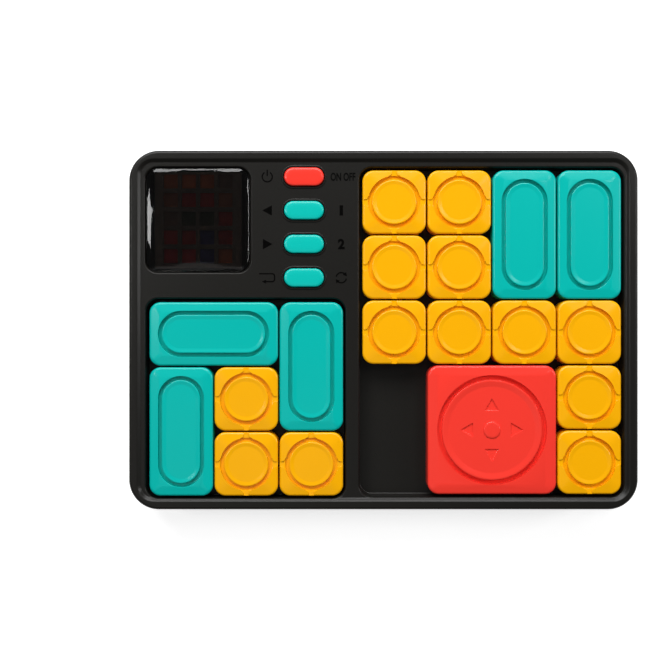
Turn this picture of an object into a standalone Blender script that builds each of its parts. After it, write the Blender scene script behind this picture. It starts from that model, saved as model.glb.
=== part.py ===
"""Electronic sliding block puzzle with a lit display, a tile board and a storage tray.

Units are metres and +Z is up. The case lies on its back. The origin is on the resting
plane, below the middle of the case. +X runs towards the board and +Y towards the display.
"""

import math

import bmesh
import bpy
from mathutils import Matrix, Vector

# Case
CASE_WIDTH = 0.180
CASE_DEPTH = 0.127
CASE_CORNER = 0.0106
WALL = 0.0022
FOOT_HEIGHT = 0.0008
PLATE_TOP = 0.0030
REAR_TOP = 0.0080
RIM_TOP = 0.0230
PANEL_TOP = 0.0221
RIM_WIDTH = 0.0030
RIM_STEP = 0.0007
GAP = 0.0003
CORNER_STEPS = 5

# Tiles and the two pockets that hold them
PITCH = 0.0230
TILE = 0.0224
TILE_CORNER = 0.0039
TILE_HEIGHT = 0.0087
TILE_CLEARANCE = 0.0011
POCKET_FLOOR = 0.0143
POCKET_FLOOR_UNDERSIDE = 0.0123
POCKET_EDGE = 0.0005
POCKET_CORNER = 0.0045
BOARD_CENTRE = Vector((0.0383, -0.0008))
BOARD_CELLS = (4, 5)
TRAY_CENTRE = Vector((-0.0488, -0.0242))
TRAY_CELLS = (3, 3)
TRAY_TILES_CENTRE = Vector((-0.0485, -0.0244))
GROOVE_DEPTH = 0.0018
HIP_DROP = 0.0005
MAGNET_THICKNESS = 0.0020
MAGNET_RADIUS = 0.0040
BAR_MAGNET_LENGTH = 0.0300
BLOCK_MAGNET_SIDE = 0.0240

# Display and buttons
DISPLAY_CENTRE = Vector((-0.0657, 0.0390))
LENS_SIDE = 0.0364
LENS_CORNER = 0.0040
LENS_SEAT = 0.0203
LENS_TOP = 0.0233
LIGHT_PITCH = 0.0065
LIGHT_CELLS = (4, 5)
LIGHT_CELL_SIDE = 0.0048
GRID_SIZE = (0.0304, 0.0340)
BUTTON_CENTRE_X = -0.0281
BUTTON_CENTRES_Y = (0.0542, 0.0423, 0.0304, 0.0185)
BUTTON_LENGTH = 0.0141
BUTTON_WIDTH = 0.0065
BUTTON_TOP = 0.0234
BUTTON_FLANGE_BOTTOM = 0.0181
CEILING = 0.0191

# Inside
MAIN_BOARD_CENTRE = Vector((-0.0515, 0.0395))
MAIN_BOARD_SIZE = (0.0630, 0.0410)
MAIN_BOARD_BOTTOM = 0.0146
MAIN_BOARD_TOP = 0.0160
SENSOR_BOARD_SIZE = (0.0860, 0.1020)
SENSOR_BOARD_BOTTOM = 0.0107
SENSOR_BOARD_TOP = 0.0119
SPEAKER_CENTRE = Vector((-0.0488, -0.0242))
SPEAKER_RADIUS = 0.0140
SCREW_PLACES = ((-0.0830, 0.0156), (0.0830, 0.0566), (-0.0830, -0.0566), (0.0830, -0.0566))
POST_RADIUS = 0.0030
POST_BOTTOM = 0.0050
FOOT_PLACES = ((-0.0835, 0.0460), (0.0835, 0.0460), (-0.0835, -0.0460), (0.0835, -0.0460))
FOOT_RADIUS = 0.0035

# Battery bay and its door
BAY_CENTRE = Vector((-0.0510, 0.0380))
BAY_LENGTH = 0.0510
BAY_WIDTH = 0.0230
BAY_WALL = 0.0012
BAY_CEILING = 0.0136
BAY_TOP = 0.0143
CELL_RADIUS = 0.0052
CELL_LENGTH = 0.0445
CELL_SPACING = 0.0112
CELL_AXIS_Z = 0.0082
DOOR_HALF_WIDTH = 0.0260
DOOR_TONGUE = 0.0015
DOOR_FRONT = 0.0250
DOOR_TOP = 0.0027
DOOR_TONGUE_BOTTOM = 0.0018
DOOR_LIP_TOP = 0.0060


def clear_scene():
    for old in list(bpy.data.objects):
        bpy.data.objects.remove(old, do_unlink=True)


def make_material(name, colour, roughness, metallic=0.0):
    material = bpy.data.materials.new(name)
    material.use_nodes = True
    shader = material.node_tree.nodes["Principled BSDF"]
    shader.inputs["Base Color"].default_value = (*colour, 1.0)
    shader.inputs["Roughness"].default_value = roughness
    shader.inputs["Metallic"].default_value = metallic
    material.diffuse_color = (*colour, 1.0)
    return material


def rectangle_ring(width, depth, radius, steps=CORNER_STEPS):
    """Corner points of a rounded rectangle, with both ends of each corner's arc."""
    ring = []
    for corner in range(4):
        for step in range(steps + 1):
            angle = math.radians(90 * (corner + step / steps))
            ring.append(corner_point(width, depth, radius, corner, angle))
    return ring


def round_ring(width, depth, radius, steps=CORNER_STEPS):
    """As many points as rectangle_ring gives, evenly spaced, for circles and stadiums."""
    ring = []
    for corner in range(4):
        for step in range(steps + 1):
            angle = math.radians(90 * (corner + (step + 0.5) / (steps + 1)))
            ring.append(corner_point(width, depth, radius, corner, angle))
    return ring


def corner_point(width, depth, radius, corner, angle):
    side_x = 1 if corner in (0, 3) else -1
    side_y = 1 if corner in (0, 1) else -1
    x = side_x * (width / 2 - radius) + radius * math.cos(angle)
    y = side_y * (depth / 2 - radius) + radius * math.sin(angle)
    return x, y


def circle_ring(radius, steps=CORNER_STEPS):
    return round_ring(2 * radius, 2 * radius, radius, steps)


def box_ring(width, depth):
    return [(x * width / 2, y * depth / 2) for x, y in ((1, 1), (-1, 1), (-1, -1), (1, -1))]


def case_ring(inset, radius=None):
    corner = CASE_CORNER - inset if radius is None else radius
    return rectangle_ring(CASE_WIDTH - 2 * inset, CASE_DEPTH - 2 * inset, corner)


def link(name, mesh, location=(0, 0, 0), material=None):
    if material is not None:
        mesh.materials.clear()
        mesh.materials.append(material)
    thing = bpy.data.objects.new(name, mesh)
    thing.location = location
    bpy.context.scene.collection.objects.link(thing)
    return thing


def loft(name, sections, location=(0, 0, 0), material=None):
    """A closed solid through a run of (ring, height) sections, capped at both ends."""
    shape = bmesh.new()
    rings = []
    for ring, height in sections:
        rings.append([shape.verts.new((x, y, height)) for x, y in ring])
    for lower, upper in zip(rings, rings[1:]):
        for i in range(len(lower)):
            after = (i + 1) % len(lower)
            shape.faces.new((lower[i], lower[after], upper[after], upper[i]))
    shape.faces.new(rings[0][::-1])
    shape.faces.new(rings[-1])
    bmesh.ops.recalc_face_normals(shape, faces=shape.faces)
    mesh = bpy.data.meshes.new(name)
    shape.to_mesh(mesh)
    shape.free()
    return link(name, mesh, location, material)


def slab(name, ring, bottom, top, location=(0, 0, 0), material=None):
    return loft(name, [(ring, bottom), (ring, top)], location, material)


def block(name, low, high):
    """A box between two corners, used to add to a body or to cut it."""
    low = Vector(low)
    high = Vector(high)
    size = high - low
    centre = (low + high) / 2
    return slab(name, box_ring(size.x, size.y), low.z, high.z, (centre.x, centre.y, 0))


def combine(body, tools, operation):
    """Joins the tools to the body or cuts them from it, and removes them."""
    for tool in tools:
        modifier = body.modifiers.new(operation.title(), "BOOLEAN")
        modifier.operation = operation
        modifier.solver = "EXACT"
        modifier.object = tool
    bpy.context.view_layer.update()
    graph = bpy.context.evaluated_depsgraph_get()
    mesh = bpy.data.meshes.new_from_object(body.evaluated_get(graph))
    body.modifiers.clear()
    body.data = mesh
    for tool in tools:
        bpy.data.objects.remove(tool, do_unlink=True)
    return body


def move_origin(thing, place):
    """Puts the object's origin at a place and leaves its shape where it is."""
    thing.data.transform(Matrix.Translation(thing.location - Vector(place)))
    thing.location = place
    return thing


def shade(thing):
    thing.data.shade_smooth()
    thing.data.set_sharp_from_angle(angle=math.radians(35))


def join(body, tools):
    return combine(body, tools, "UNION")


def cut(body, tools):
    return combine(body, tools, "DIFFERENCE")


def cylinder(name, place, radius, bottom, top, steps=2, material=None):
    return slab(name, circle_ring(radius, steps), bottom, top, (*place, 0), material)


def cell_place(centre, cells, column, row):
    """The middle of a cell, with column 1 at the left and row 1 at the back."""
    x = centre.x + (column - (cells[0] + 1) / 2) * PITCH
    y = centre.y - (row - (cells[1] + 1) / 2) * PITCH
    return Vector((x, y))


def field_size(cells):
    """The space that a pocket gives its tiles, across and down."""
    return tuple((n - 1) * PITCH + TILE + 2 * TILE_CLEARANCE for n in cells)


def pocket_cutter(centre, cells):
    width, depth = field_size(cells)
    edge = 2 * POCKET_EDGE
    wall = rectangle_ring(width, depth, POCKET_CORNER)
    mouth = rectangle_ring(width + edge, depth + edge, POCKET_CORNER + POCKET_EDGE)
    sections = [
        (wall, POCKET_FLOOR),
        (wall, PANEL_TOP - POCKET_EDGE),
        (mouth, PANEL_TOP + 0.00005),
        (mouth, RIM_TOP + 0.001),
    ]
    return loft("pocket_cutter", sections, (*centre, 0))


def button_ring(extra, steps=3):
    width = BUTTON_WIDTH + 2 * extra
    return round_ring(BUTTON_LENGTH + 2 * extra, width, width / 2, steps)


def top_housing(material):
    body = loft(
        "top_housing",
        [
            (case_ring(0), REAR_TOP + GAP),
            (case_ring(0), RIM_TOP - 0.0011),
            (case_ring(0.00035), RIM_TOP - 0.0004),
            (case_ring(0.0011), RIM_TOP),
        ],
        material=material,
    )
    edge = RIM_WIDTH + RIM_STEP
    panel = [(case_ring(edge, 0.0054), PANEL_TOP), (case_ring(RIM_WIDTH, 0.0060), RIM_TOP + 0.0001)]
    cut(body, [loft("panel_cutter", panel)])
    join(body, [button_collar(y) for y in BUTTON_CENTRES_Y])
    cut(
        body,
        [
            pocket_cutter(BOARD_CENTRE, BOARD_CELLS),
            pocket_cutter(TRAY_CENTRE, TRAY_CELLS),
            slab("lower_cavity", case_ring(WALL), 0.007, POCKET_FLOOR_UNDERSIDE),
            upper_cavity(),
            *display_cutters(),
            *[button_hole(y) for y in BUTTON_CENTRES_Y],
        ],
    )
    join(body, [screw_post(place) for place in SCREW_PLACES])
    pilot = 0.00165
    pilot_top = POCKET_FLOOR_UNDERSIDE - 0.0006
    cut(body, [cylinder("pilot", place, pilot, 0.004, pilot_top) for place in SCREW_PLACES])
    return body


def button_collar(y):
    return slab("collar", button_ring(0.0010), 0.0215, PANEL_TOP + GAP, (BUTTON_CENTRE_X, y, 0))


def button_hole(y):
    return slab("hole", button_ring(0.00035), 0.0170, 0.0250, (BUTTON_CENTRE_X, y, 0))


def upper_cavity():
    """The room under the display and the buttons, between the outer wall and both pockets."""
    left = -CASE_WIDTH / 2 + WALL + 0.0002
    back = CASE_DEPTH / 2 - WALL - 0.0002
    right = BOARD_CENTRE.x - field_size(BOARD_CELLS)[0] / 2 - WALL
    front = TRAY_CENTRE.y + field_size(TRAY_CELLS)[1] / 2 + WALL
    ring = rectangle_ring(right - left, back - front, 0.0082, 4)
    return slab("upper_cavity", ring, 0.011, CEILING, ((left + right) / 2, (front + back) / 2, 0))


def display_cutters():
    side = LENS_SIDE + 2 * GAP
    recess = rectangle_ring(side, side, LENS_CORNER + GAP, 4)
    window = box_ring(GRID_SIZE[0] + 2 * GAP, GRID_SIZE[1] + 2 * GAP)
    place = (*DISPLAY_CENTRE, 0)
    return [
        slab("lens_recess", recess, LENS_SEAT, 0.025, place),
        slab("window", window, 0.018, 0.0215, place),
    ]


def screw_post(place):
    """A post under a pocket floor, or under the panel where there is no pocket."""
    reaches_panel = place == SCREW_PLACES[0]
    top = CEILING + 0.0005 if reaches_panel else POCKET_FLOOR_UNDERSIDE + 0.0003
    return cylinder("post", place, POST_RADIUS, POST_BOTTOM, top)


def rear_housing(material):
    body = loft(
        "rear_housing",
        [
            (case_ring(0.0012), FOOT_HEIGHT),
            (case_ring(0.00035), FOOT_HEIGHT + 0.00035),
            (case_ring(0), FOOT_HEIGHT + 0.0012),
            (case_ring(0), REAR_TOP),
        ],
        material=material,
    )
    cut(body, [slab("inside", case_ring(WALL), PLATE_TOP, 0.009)])
    feet = [cylinder("foot", p, FOOT_RADIUS, 0, FOOT_HEIGHT + 0.0005, 3) for p in FOOT_PLACES]
    bosses = [cylinder("boss", p, 0.0045, 0.002, 0.0047, 3) for p in SCREW_PLACES]
    join(body, feet + bosses + bay_walls() + [speaker_wall()])
    cut(body, [speaker_room()] + bay_cutters() + door_cutters() + speaker_slots())
    for radius, top in ((0.0032, 0.0032), (0.0017, 0.0060)):
        cut(body, [cylinder("screw_way", p, radius, -0.001, top, 2) for p in SCREW_PLACES])
    return body


def bay_walls():
    x, y = BAY_CENTRE
    half_x = BAY_LENGTH / 2 + BAY_WALL
    half_y = BAY_WIDTH / 2 + BAY_WALL
    back = CASE_DEPTH / 2 - WALL / 2
    rail = DOOR_HALF_WIDTH + DOOR_TONGUE + 0.0016
    return [
        block("bay", (x - half_x, y - half_y, 0.002), (x + half_x, y + half_y, BAY_TOP)),
        block("apron", (x - rail, y - half_y - 0.002, 0.0021), (x + rail, back, 0.0042)),
    ]


def bay_cutters():
    x, y = BAY_CENTRE
    low = (x - BAY_LENGTH / 2, y - BAY_WIDTH / 2, -0.001)
    high = (x + BAY_LENGTH / 2, y + BAY_WIDTH / 2, BAY_CEILING)
    return [block("bay_inside", low, high)]


def door_cutters():
    """The stepped slot that the door slides in, and the notch in the back wall for its lip."""
    x = BAY_CENTRE.x
    narrow = DOOR_HALF_WIDTH + GAP
    wide = narrow + DOOR_TONGUE
    front = DOOR_FRONT - GAP
    past = CASE_DEPTH / 2 + 0.002
    inner = CASE_DEPTH / 2 - WALL - GAP
    step = DOOR_TONGUE_BOTTOM - GAP
    return [
        block("slot", (x - narrow, front, -0.001), (x + narrow, past, step + 0.0001)),
        block("rails", (x - wide, front, step), (x + wide, past, PLATE_TOP)),
        block("notch", (x - narrow, inner, -0.001), (x + narrow, past, DOOR_LIP_TOP + GAP)),
    ]


def speaker_wall():
    return cylinder("wall", SPEAKER_CENTRE, SPEAKER_RADIUS + 0.0016, 0.002, 0.0055, 4)


def speaker_room():
    return cylinder("room", SPEAKER_CENTRE, SPEAKER_RADIUS + 0.0004, PLATE_TOP, 0.0070, 4)


def speaker_slots():
    slots = []
    for row in range(-2, 3):
        y = SPEAKER_CENTRE.y + row * 0.0030
        half = 0.0090 - abs(row) * 0.0015
        x = SPEAKER_CENTRE.x
        slots.append(block("slot", (x - half, y - 0.0006, -0.001), (x + half, y + 0.0006, 0.004)))
    return slots


def battery_door(material):
    """A plate with side tongues, a lip that closes the back wall, and three finger grooves."""
    x = BAY_CENTRE.x
    half = DOOR_HALF_WIDTH
    wide = half + DOOR_TONGUE
    back = CASE_DEPTH / 2
    lip_front = back - WALL
    skin = 0.0001
    body = block("battery_door", (x - half, DOOR_FRONT, FOOT_HEIGHT), (x + half, back, DOOR_TOP))
    low = (x - wide, DOOR_FRONT, DOOR_TONGUE_BOTTOM)
    tongues = block("tongues", low, (x + wide, lip_front - GAP, DOOR_TOP - skin))
    low = (x - half, lip_front, FOOT_HEIGHT + skin)
    lip = block("lip", low, (x + half, back - skin, DOOR_LIP_TOP))
    join(body, [tongues, lip])
    cut(body, [door_grip(0.047 + step * 0.003) for step in range(3)])
    body.data.materials.append(material)
    return move_origin(body, (x, DOOR_FRONT, 0))


def door_grip(y):
    x = BAY_CENTRE.x
    top = FOOT_HEIGHT + 0.0005
    return block("grip", (x - 0.007, y, -0.001), (x + 0.007, y + 0.0012, top))


def display_lens(material):
    sections = [
        (rectangle_ring(LENS_SIDE, LENS_SIDE, LENS_CORNER, 4), LENS_SEAT + GAP),
        (rectangle_ring(LENS_SIDE, LENS_SIDE, LENS_CORNER, 4), LENS_TOP - 0.0010),
    ]
    for inset, drop in ((0.0008, 0.0006), (0.0050, 0.0002), (0.0110, 0.0)):
        side = LENS_SIDE - 2 * inset
        corner = max(LENS_CORNER - inset / 2, 0.0010)
        sections.append((rectangle_ring(side, side, corner, 4), LENS_TOP - drop))
    return loft("display_lens", sections, (*DISPLAY_CENTRE, 0), material)


def light_place(column, row):
    x = DISPLAY_CENTRE.x + (column - (LIGHT_CELLS[0] - 1) / 2) * LIGHT_PITCH
    y = DISPLAY_CENTRE.y + (row - (LIGHT_CELLS[1] - 1) / 2) * LIGHT_PITCH
    return x, y


def light_cells(name, side, bottom, top):
    cells = []
    for column in range(LIGHT_CELLS[0]):
        for row in range(LIGHT_CELLS[1]):
            place = (*light_place(column, row), 0)
            cells.append(slab(name, box_ring(side, side), bottom, top, place))
    return cells


def light_grid(material):
    bottom = MAIN_BOARD_TOP + GAP
    body = slab("light_grid", box_ring(*GRID_SIZE), bottom, LENS_SEAT, (*DISPLAY_CENTRE, 0), material)
    return cut(body, light_cells("opening", LIGHT_CELL_SIDE, 0.015, 0.022))


def main_board(material):
    ring = box_ring(*MAIN_BOARD_SIZE)
    place = (*MAIN_BOARD_CENTRE, 0)
    body = slab("main_board", ring, MAIN_BOARD_BOTTOM, MAIN_BOARD_TOP, place, material)
    return join(body, light_cells("light", 0.0030, MAIN_BOARD_TOP - 0.0004, MAIN_BOARD_TOP + 0.0009))


def sensor_board(material):
    ring = box_ring(*SENSOR_BOARD_SIZE)
    place = (*BOARD_CENTRE, 0)
    body = slab("sensor_board", ring, SENSOR_BOARD_BOTTOM, SENSOR_BOARD_TOP, place, material)
    sensors = []
    for column in range(1, BOARD_CELLS[0] + 1):
        for row in range(1, BOARD_CELLS[1] + 1):
            spot = cell_place(BOARD_CENTRE, BOARD_CELLS, column, row)
            ring = box_ring(0.0040, 0.0030)
            bottom = SENSOR_BOARD_BOTTOM - 0.0010
            sensors.append(slab("sensor", ring, bottom, SENSOR_BOARD_BOTTOM + 0.0004, (*spot, 0)))
    return join(body, sensors)


def keypad_membrane(material):
    middle = (BUTTON_CENTRES_Y[0] + BUTTON_CENTRES_Y[-1]) / 2
    bottom = MAIN_BOARD_TOP + GAP
    ring = rectangle_ring(0.0140, 0.0430, 0.0015, 2)
    body = slab("keypad_membrane", ring, bottom, bottom + 0.0006, (BUTTON_CENTRE_X, middle, 0), material)
    domes = []
    for y in BUTTON_CENTRES_Y:
        sections = [(circle_ring(0.0030, 2), bottom + 0.0003), (circle_ring(0.0022, 2), bottom + 0.0011)]
        domes.append(loft("dome", sections, (BUTTON_CENTRE_X, y, 0)))
    return join(body, domes)


def press_button(name, y, material):
    flange_top = BUTTON_FLANGE_BOTTOM + 0.0007
    sections = [
        (button_ring(0.0013), BUTTON_FLANGE_BOTTOM),
        (button_ring(0.0013), flange_top),
        (button_ring(0.0), flange_top),
        (button_ring(0.0), BUTTON_TOP - 0.0006),
        (button_ring(-0.0006), BUTTON_TOP - 0.0002),
        (button_ring(-0.0018), BUTTON_TOP),
    ]
    return loft(name, sections, (BUTTON_CENTRE_X, y, 0), material)


def aaa_cell(name, side, material):
    """One cell lying along X. side is +1 or -1 and says which way its positive end points."""
    body_ring = circle_ring(CELL_RADIUS, 3)
    tip_ring = circle_ring(0.0019, 3)
    half = CELL_LENGTH / 2
    sections = [(body_ring, -half), (body_ring, half - 0.0010), (tip_ring, half - 0.0010), (tip_ring, half)]
    place = (BAY_CENTRE.x, BAY_CENTRE.y + side * CELL_SPACING / 2, CELL_AXIS_Z)
    cell = loft(name, sections, place, material)
    cell.rotation_euler = (0, side * math.pi / 2, 0)
    return cell


def battery_contact(name, end, sides, material):
    """A plate at one end of the bay, with a tip or a spring for each cell that it meets."""
    inner = BAY_CENTRE.x + end * (BAY_LENGTH / 2 - GAP)
    face = inner - end * 0.0005
    half = 0.0040 + (len(sides) - 1) * CELL_SPACING / 2
    middle = BAY_CENTRE.y + sum(sides) / len(sides) * CELL_SPACING / 2
    low = (min(inner, face), middle - half, CELL_AXIS_Z - 0.0035)
    high = (max(inner, face), middle + half, CELL_AXIS_Z + 0.0035)
    body = block(name, low, high)
    tips = []
    for side in sides:
        meets_tip = side == end
        wide = 0.0016 if meets_tip else 0.0034
        reach = 0.0022
        sections = [(circle_ring(wide, 2), 0), (circle_ring(0.0014 if meets_tip else 0.0026, 2), reach)]
        place = (face + end * 0.0002, BAY_CENTRE.y + side * CELL_SPACING / 2, CELL_AXIS_Z)
        tip = loft("tip", sections, place)
        tip.rotation_euler = (0, -end * math.pi / 2, 0)
        tips.append(tip)
    join(body, tips)
    body.data.materials.append(material)
    return body


def speaker(material):
    bottom = PLATE_TOP + GAP
    sections = [
        (circle_ring(SPEAKER_RADIUS, 4), bottom),
        (circle_ring(SPEAKER_RADIUS, 4), bottom + 0.0018),
        (circle_ring(0.0075, 4), bottom + 0.0030),
        (circle_ring(0.0075, 4), bottom + 0.0052),
    ]
    return loft("speaker", sections, (*SPEAKER_CENTRE, 0), material)


def case_screw(name, place, material):
    head = circle_ring(0.0028, 3)
    shank = circle_ring(0.00125, 3)
    sections = [(head, 0.0013), (head, 0.0029), (shank, 0.0029), (shank, 0.0112)]
    body = loft(name, sections, (*place, 0), material)
    x, y = place
    slots = []
    for long, short in ((0.0018, 0.0004), (0.0004, 0.0018)):
        slots.append(block("slot", (x - long, y - short, 0.0010), (x + long, y + short, 0.0020)))
    return cut(body, slots)


def tile_body(name, width, depth, rings, recess, material, steps):
    """A tile with its origin under its middle: a magnet recess, hipped edges, a groove and a dish.

    rings holds the groove's outer ring, its inner ring and the dish's ring. recess is the
    ring of the magnet recess in the underside.
    """
    outer, inner, dish = rings
    floor = TILE_HEIGHT - GROOVE_DEPTH
    full = rectangle_ring(width, depth, TILE_CORNER, steps)
    eased = rectangle_ring(width - 0.0006, depth - 0.0006, TILE_CORNER - 0.0003, steps)
    sections = [
        (recess, MAGNET_THICKNESS + 2 * GAP),
        (recess, 0),
        (full, 0),
        (full, TILE_HEIGHT - 0.0009),
        (eased, TILE_HEIGHT - HIP_DROP),
        (outer, TILE_HEIGHT),
        (outer, floor),
        (inner, floor),
        (inner, TILE_HEIGHT - 0.0001),
        (dish, TILE_HEIGHT - 0.0005),
    ]
    return loft(name, sections, material=material)


def square_tile_mesh(material):
    steps = 3
    rings = [circle_ring(r, steps) for r in (0.0093, 0.0080, 0.0060)]
    recess = circle_ring(MAGNET_RADIUS + GAP, steps)
    body = tile_body("square_tile", TILE, TILE, rings, recess, material, steps)
    slots = []
    for x, y in ((1, 0), (-1, 0), (0, 1), (0, -1)):
        middle = Vector((x, y)) * 0.00965
        half = Vector((0.0010, 0.0009)) if x else Vector((0.0009, 0.0010))
        low = (middle.x - half.x, middle.y - half.y, TILE_HEIGHT - 0.0009)
        high = (middle.x + half.x, middle.y + half.y, TILE_HEIGHT + 0.001)
        slots.append(block("slot", low, high))
    return take_mesh(cut(body, slots))


def bar_tile_mesh(material):
    steps = 4
    length = TILE + PITCH
    rings = []
    for inset in (0.0032, 0.0045, 0.0062):
        across = TILE - 2 * inset
        rings.append(round_ring(length - 2 * inset, across, across / 2, steps))
    width = 2 * (MAGNET_RADIUS + GAP)
    recess = round_ring(BAR_MAGNET_LENGTH + 2 * GAP, width, width / 2, steps)
    return take_mesh(tile_body("bar_tile", length, TILE, rings, recess, material, steps))


def block_tile_mesh(material):
    """The large tile, with four arrows round a small boss in its dish."""
    steps = 5
    side = TILE + PITCH
    rings = [circle_ring(r, steps) for r in (0.01945, 0.0180, 0.01525)]
    recess_side = BLOCK_MAGNET_SIDE + 2 * GAP
    recess = round_ring(recess_side, recess_side, 0.0020, steps)
    body = tile_body("block_tile", side, side, rings, recess, material, steps)
    dish = TILE_HEIGHT - 0.0005
    boss = slab("boss", circle_ring(0.0030, 3), dish - 0.0003, dish + 0.0004)
    join(body, [boss])
    arrows = []
    for quarter in range(4):
        angle = quarter * math.pi / 2
        points = ((0.0105, 0.0), (0.0065, 0.0036), (0.0065, -0.0036))
        ring = [turned(x, y, angle) for x, y in points]
        arrows.append(slab("arrow", ring, dish - 0.0004, dish + 0.001))
    return take_mesh(cut(body, arrows))


def turned(x, y, angle):
    cosine = math.cos(angle)
    sine = math.sin(angle)
    return x * cosine - y * sine, x * sine + y * cosine


def take_mesh(thing):
    """The mesh of a pattern object, which is removed."""
    mesh = thing.data
    bpy.data.objects.remove(thing, do_unlink=True)
    return mesh


def magnet_mesh(name, ring, material):
    return take_mesh(slab(name, ring, GAP, GAP + MAGNET_THICKNESS, material=material))


def board_square_places():
    cells = ((1, 1), (2, 1), (1, 2), (2, 2), (1, 3), (2, 3), (3, 3), (4, 3), (4, 4), (4, 5))
    return [cell_place(BOARD_CENTRE, BOARD_CELLS, column, row) for column, row in cells]


def tray_square_places():
    return [cell_place(TRAY_TILES_CENTRE, TRAY_CELLS, column, row) for column, row in ((2, 2), (2, 3), (3, 3))]


def bar_places():
    """Middle and turn of each bar tile: two on the board, then three in the tray."""
    upright = math.pi / 2
    board = [(cell_place(BOARD_CENTRE, BOARD_CELLS, column, 1.5), upright) for column in (3, 4)]
    tray = [
        (cell_place(TRAY_TILES_CENTRE, TRAY_CELLS, 1.5, 1), 0.0),
        (cell_place(TRAY_TILES_CENTRE, TRAY_CELLS, 3, 1.5), upright),
        (cell_place(TRAY_TILES_CENTRE, TRAY_CELLS, 1, 2.5), upright),
    ]
    return board + tray


def place_tile(name, magnet_name, tile_mesh, magnet, place, turn=0.0):
    tile = link(name, tile_mesh, (*place, POCKET_FLOOR + GAP))
    tile.rotation_euler = (0, 0, turn)
    disc = link(magnet_name, magnet, (0, 0, 0))
    disc.parent = tile
    return tile


def tiles(yellow, teal, red, nickel):
    square = square_tile_mesh(yellow)
    disc = magnet_mesh("disc_magnet", circle_ring(MAGNET_RADIUS, 2), nickel)
    for number, place in enumerate(board_square_places() + tray_square_places(), 1):
        place_tile(f"square_tile_{number:02d}", f"square_magnet_{number:02d}", square, disc, place)
    bar = bar_tile_mesh(teal)
    width = 2 * MAGNET_RADIUS
    strip = magnet_mesh("bar_magnet", round_ring(BAR_MAGNET_LENGTH, width, width / 2, 2), nickel)
    for number, (place, turn) in enumerate(bar_places(), 1):
        place_tile(f"bar_tile_{number}", f"bar_magnet_{number}", bar, strip, place, turn)
    side = BLOCK_MAGNET_SIDE
    plate = magnet_mesh("plate_magnet", round_ring(side, side, 0.0018, 2), nickel)
    place = cell_place(BOARD_CENTRE, BOARD_CELLS, 2.5, 4.5)
    place_tile("block_tile", "block_magnet", block_tile_mesh(red), plate, place)


def build():
    clear_scene()
    black = make_material("black_shell", (0.014, 0.013, 0.012), 0.42)
    smoked = make_material("smoked_lens", (0.004, 0.004, 0.004), 0.06)
    white = make_material("white_plastic", (0.80, 0.80, 0.78), 0.50)
    board = make_material("circuit_board", (0.02, 0.16, 0.07), 0.40)
    silicone = make_material("grey_silicone", (0.25, 0.25, 0.26), 0.70)
    yellow = make_material("yellow_tile", (0.965, 0.451, 0.001), 0.38)
    teal = make_material("teal_tile", (0.001, 0.512, 0.456), 0.38)
    red = make_material("red_tile", (0.955, 0.042, 0.026), 0.38)
    nickel = make_material("nickel", (0.70, 0.69, 0.66), 0.28, 1.0)
    steel = make_material("screw_steel", (0.55, 0.55, 0.56), 0.35, 1.0)
    sleeve = make_material("battery_sleeve", (0.09, 0.12, 0.16), 0.35)
    frame = make_material("speaker_frame", (0.05, 0.05, 0.05), 0.60)

    top_housing(black)
    rear_housing(black)
    battery_door(black)
    display_lens(smoked)
    light_grid(white)
    main_board(board)
    sensor_board(board)
    keypad_membrane(silicone)
    names = ("power_button", "back_button", "next_button", "replay_button")
    for name, y in zip(names, BUTTON_CENTRES_Y):
        press_button(name, y, red if name == "power_button" else teal)
    aaa_cell("battery_1", 1, sleeve)
    aaa_cell("battery_2", -1, sleeve)
    battery_contact("contact_plus", 1, (1,), nickel)
    battery_contact("contact_minus", 1, (-1,), nickel)
    battery_contact("contact_bridge", -1, (1, -1), nickel)
    speaker(frame)
    for number, place in enumerate(SCREW_PLACES, 1):
        case_screw(f"case_screw_{number}", place, steel)
    tiles(yellow, teal, red, nickel)
    for thing in bpy.data.objects:
        shade(thing)


build()
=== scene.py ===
"""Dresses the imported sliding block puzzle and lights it.

A flat black case lies on its back. A smoked display and four press buttons are on
its upper left, a tray with spare tiles below them, and a board of sliding tiles on
the right. Units are metres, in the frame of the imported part.
"""

import logging
import math
from collections.abc import Callable, Iterator, Sequence
from contextlib import contextmanager
from dataclasses import dataclass, field
from enum import Enum
from typing import Any

import bmesh
import bpy
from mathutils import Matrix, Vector


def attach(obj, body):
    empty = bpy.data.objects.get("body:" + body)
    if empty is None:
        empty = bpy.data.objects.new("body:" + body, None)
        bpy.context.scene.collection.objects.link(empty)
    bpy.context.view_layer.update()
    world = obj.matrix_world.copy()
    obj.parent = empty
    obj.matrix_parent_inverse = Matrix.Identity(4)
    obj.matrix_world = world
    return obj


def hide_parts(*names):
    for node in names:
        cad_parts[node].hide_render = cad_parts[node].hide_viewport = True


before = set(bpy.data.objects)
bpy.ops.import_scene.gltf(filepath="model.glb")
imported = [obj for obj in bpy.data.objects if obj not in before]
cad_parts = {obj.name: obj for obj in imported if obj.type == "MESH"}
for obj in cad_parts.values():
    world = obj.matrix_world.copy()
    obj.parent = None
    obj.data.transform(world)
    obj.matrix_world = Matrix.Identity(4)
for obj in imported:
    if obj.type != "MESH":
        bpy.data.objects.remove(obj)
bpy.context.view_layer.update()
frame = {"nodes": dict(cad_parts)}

log = logging.getLogger("puzzle")

Pair = tuple[float, float]
Triple = tuple[float, float, float]
Steps = Sequence[Pair]

# Heights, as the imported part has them
REAR_TOP = 0.0080
GAP = 0.0003
RIM_TOP = 0.0230
PANEL_TOP = 0.0221
POCKET_FLOOR = 0.0143
TILE_SEAT = POCKET_FLOOR + GAP

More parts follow.
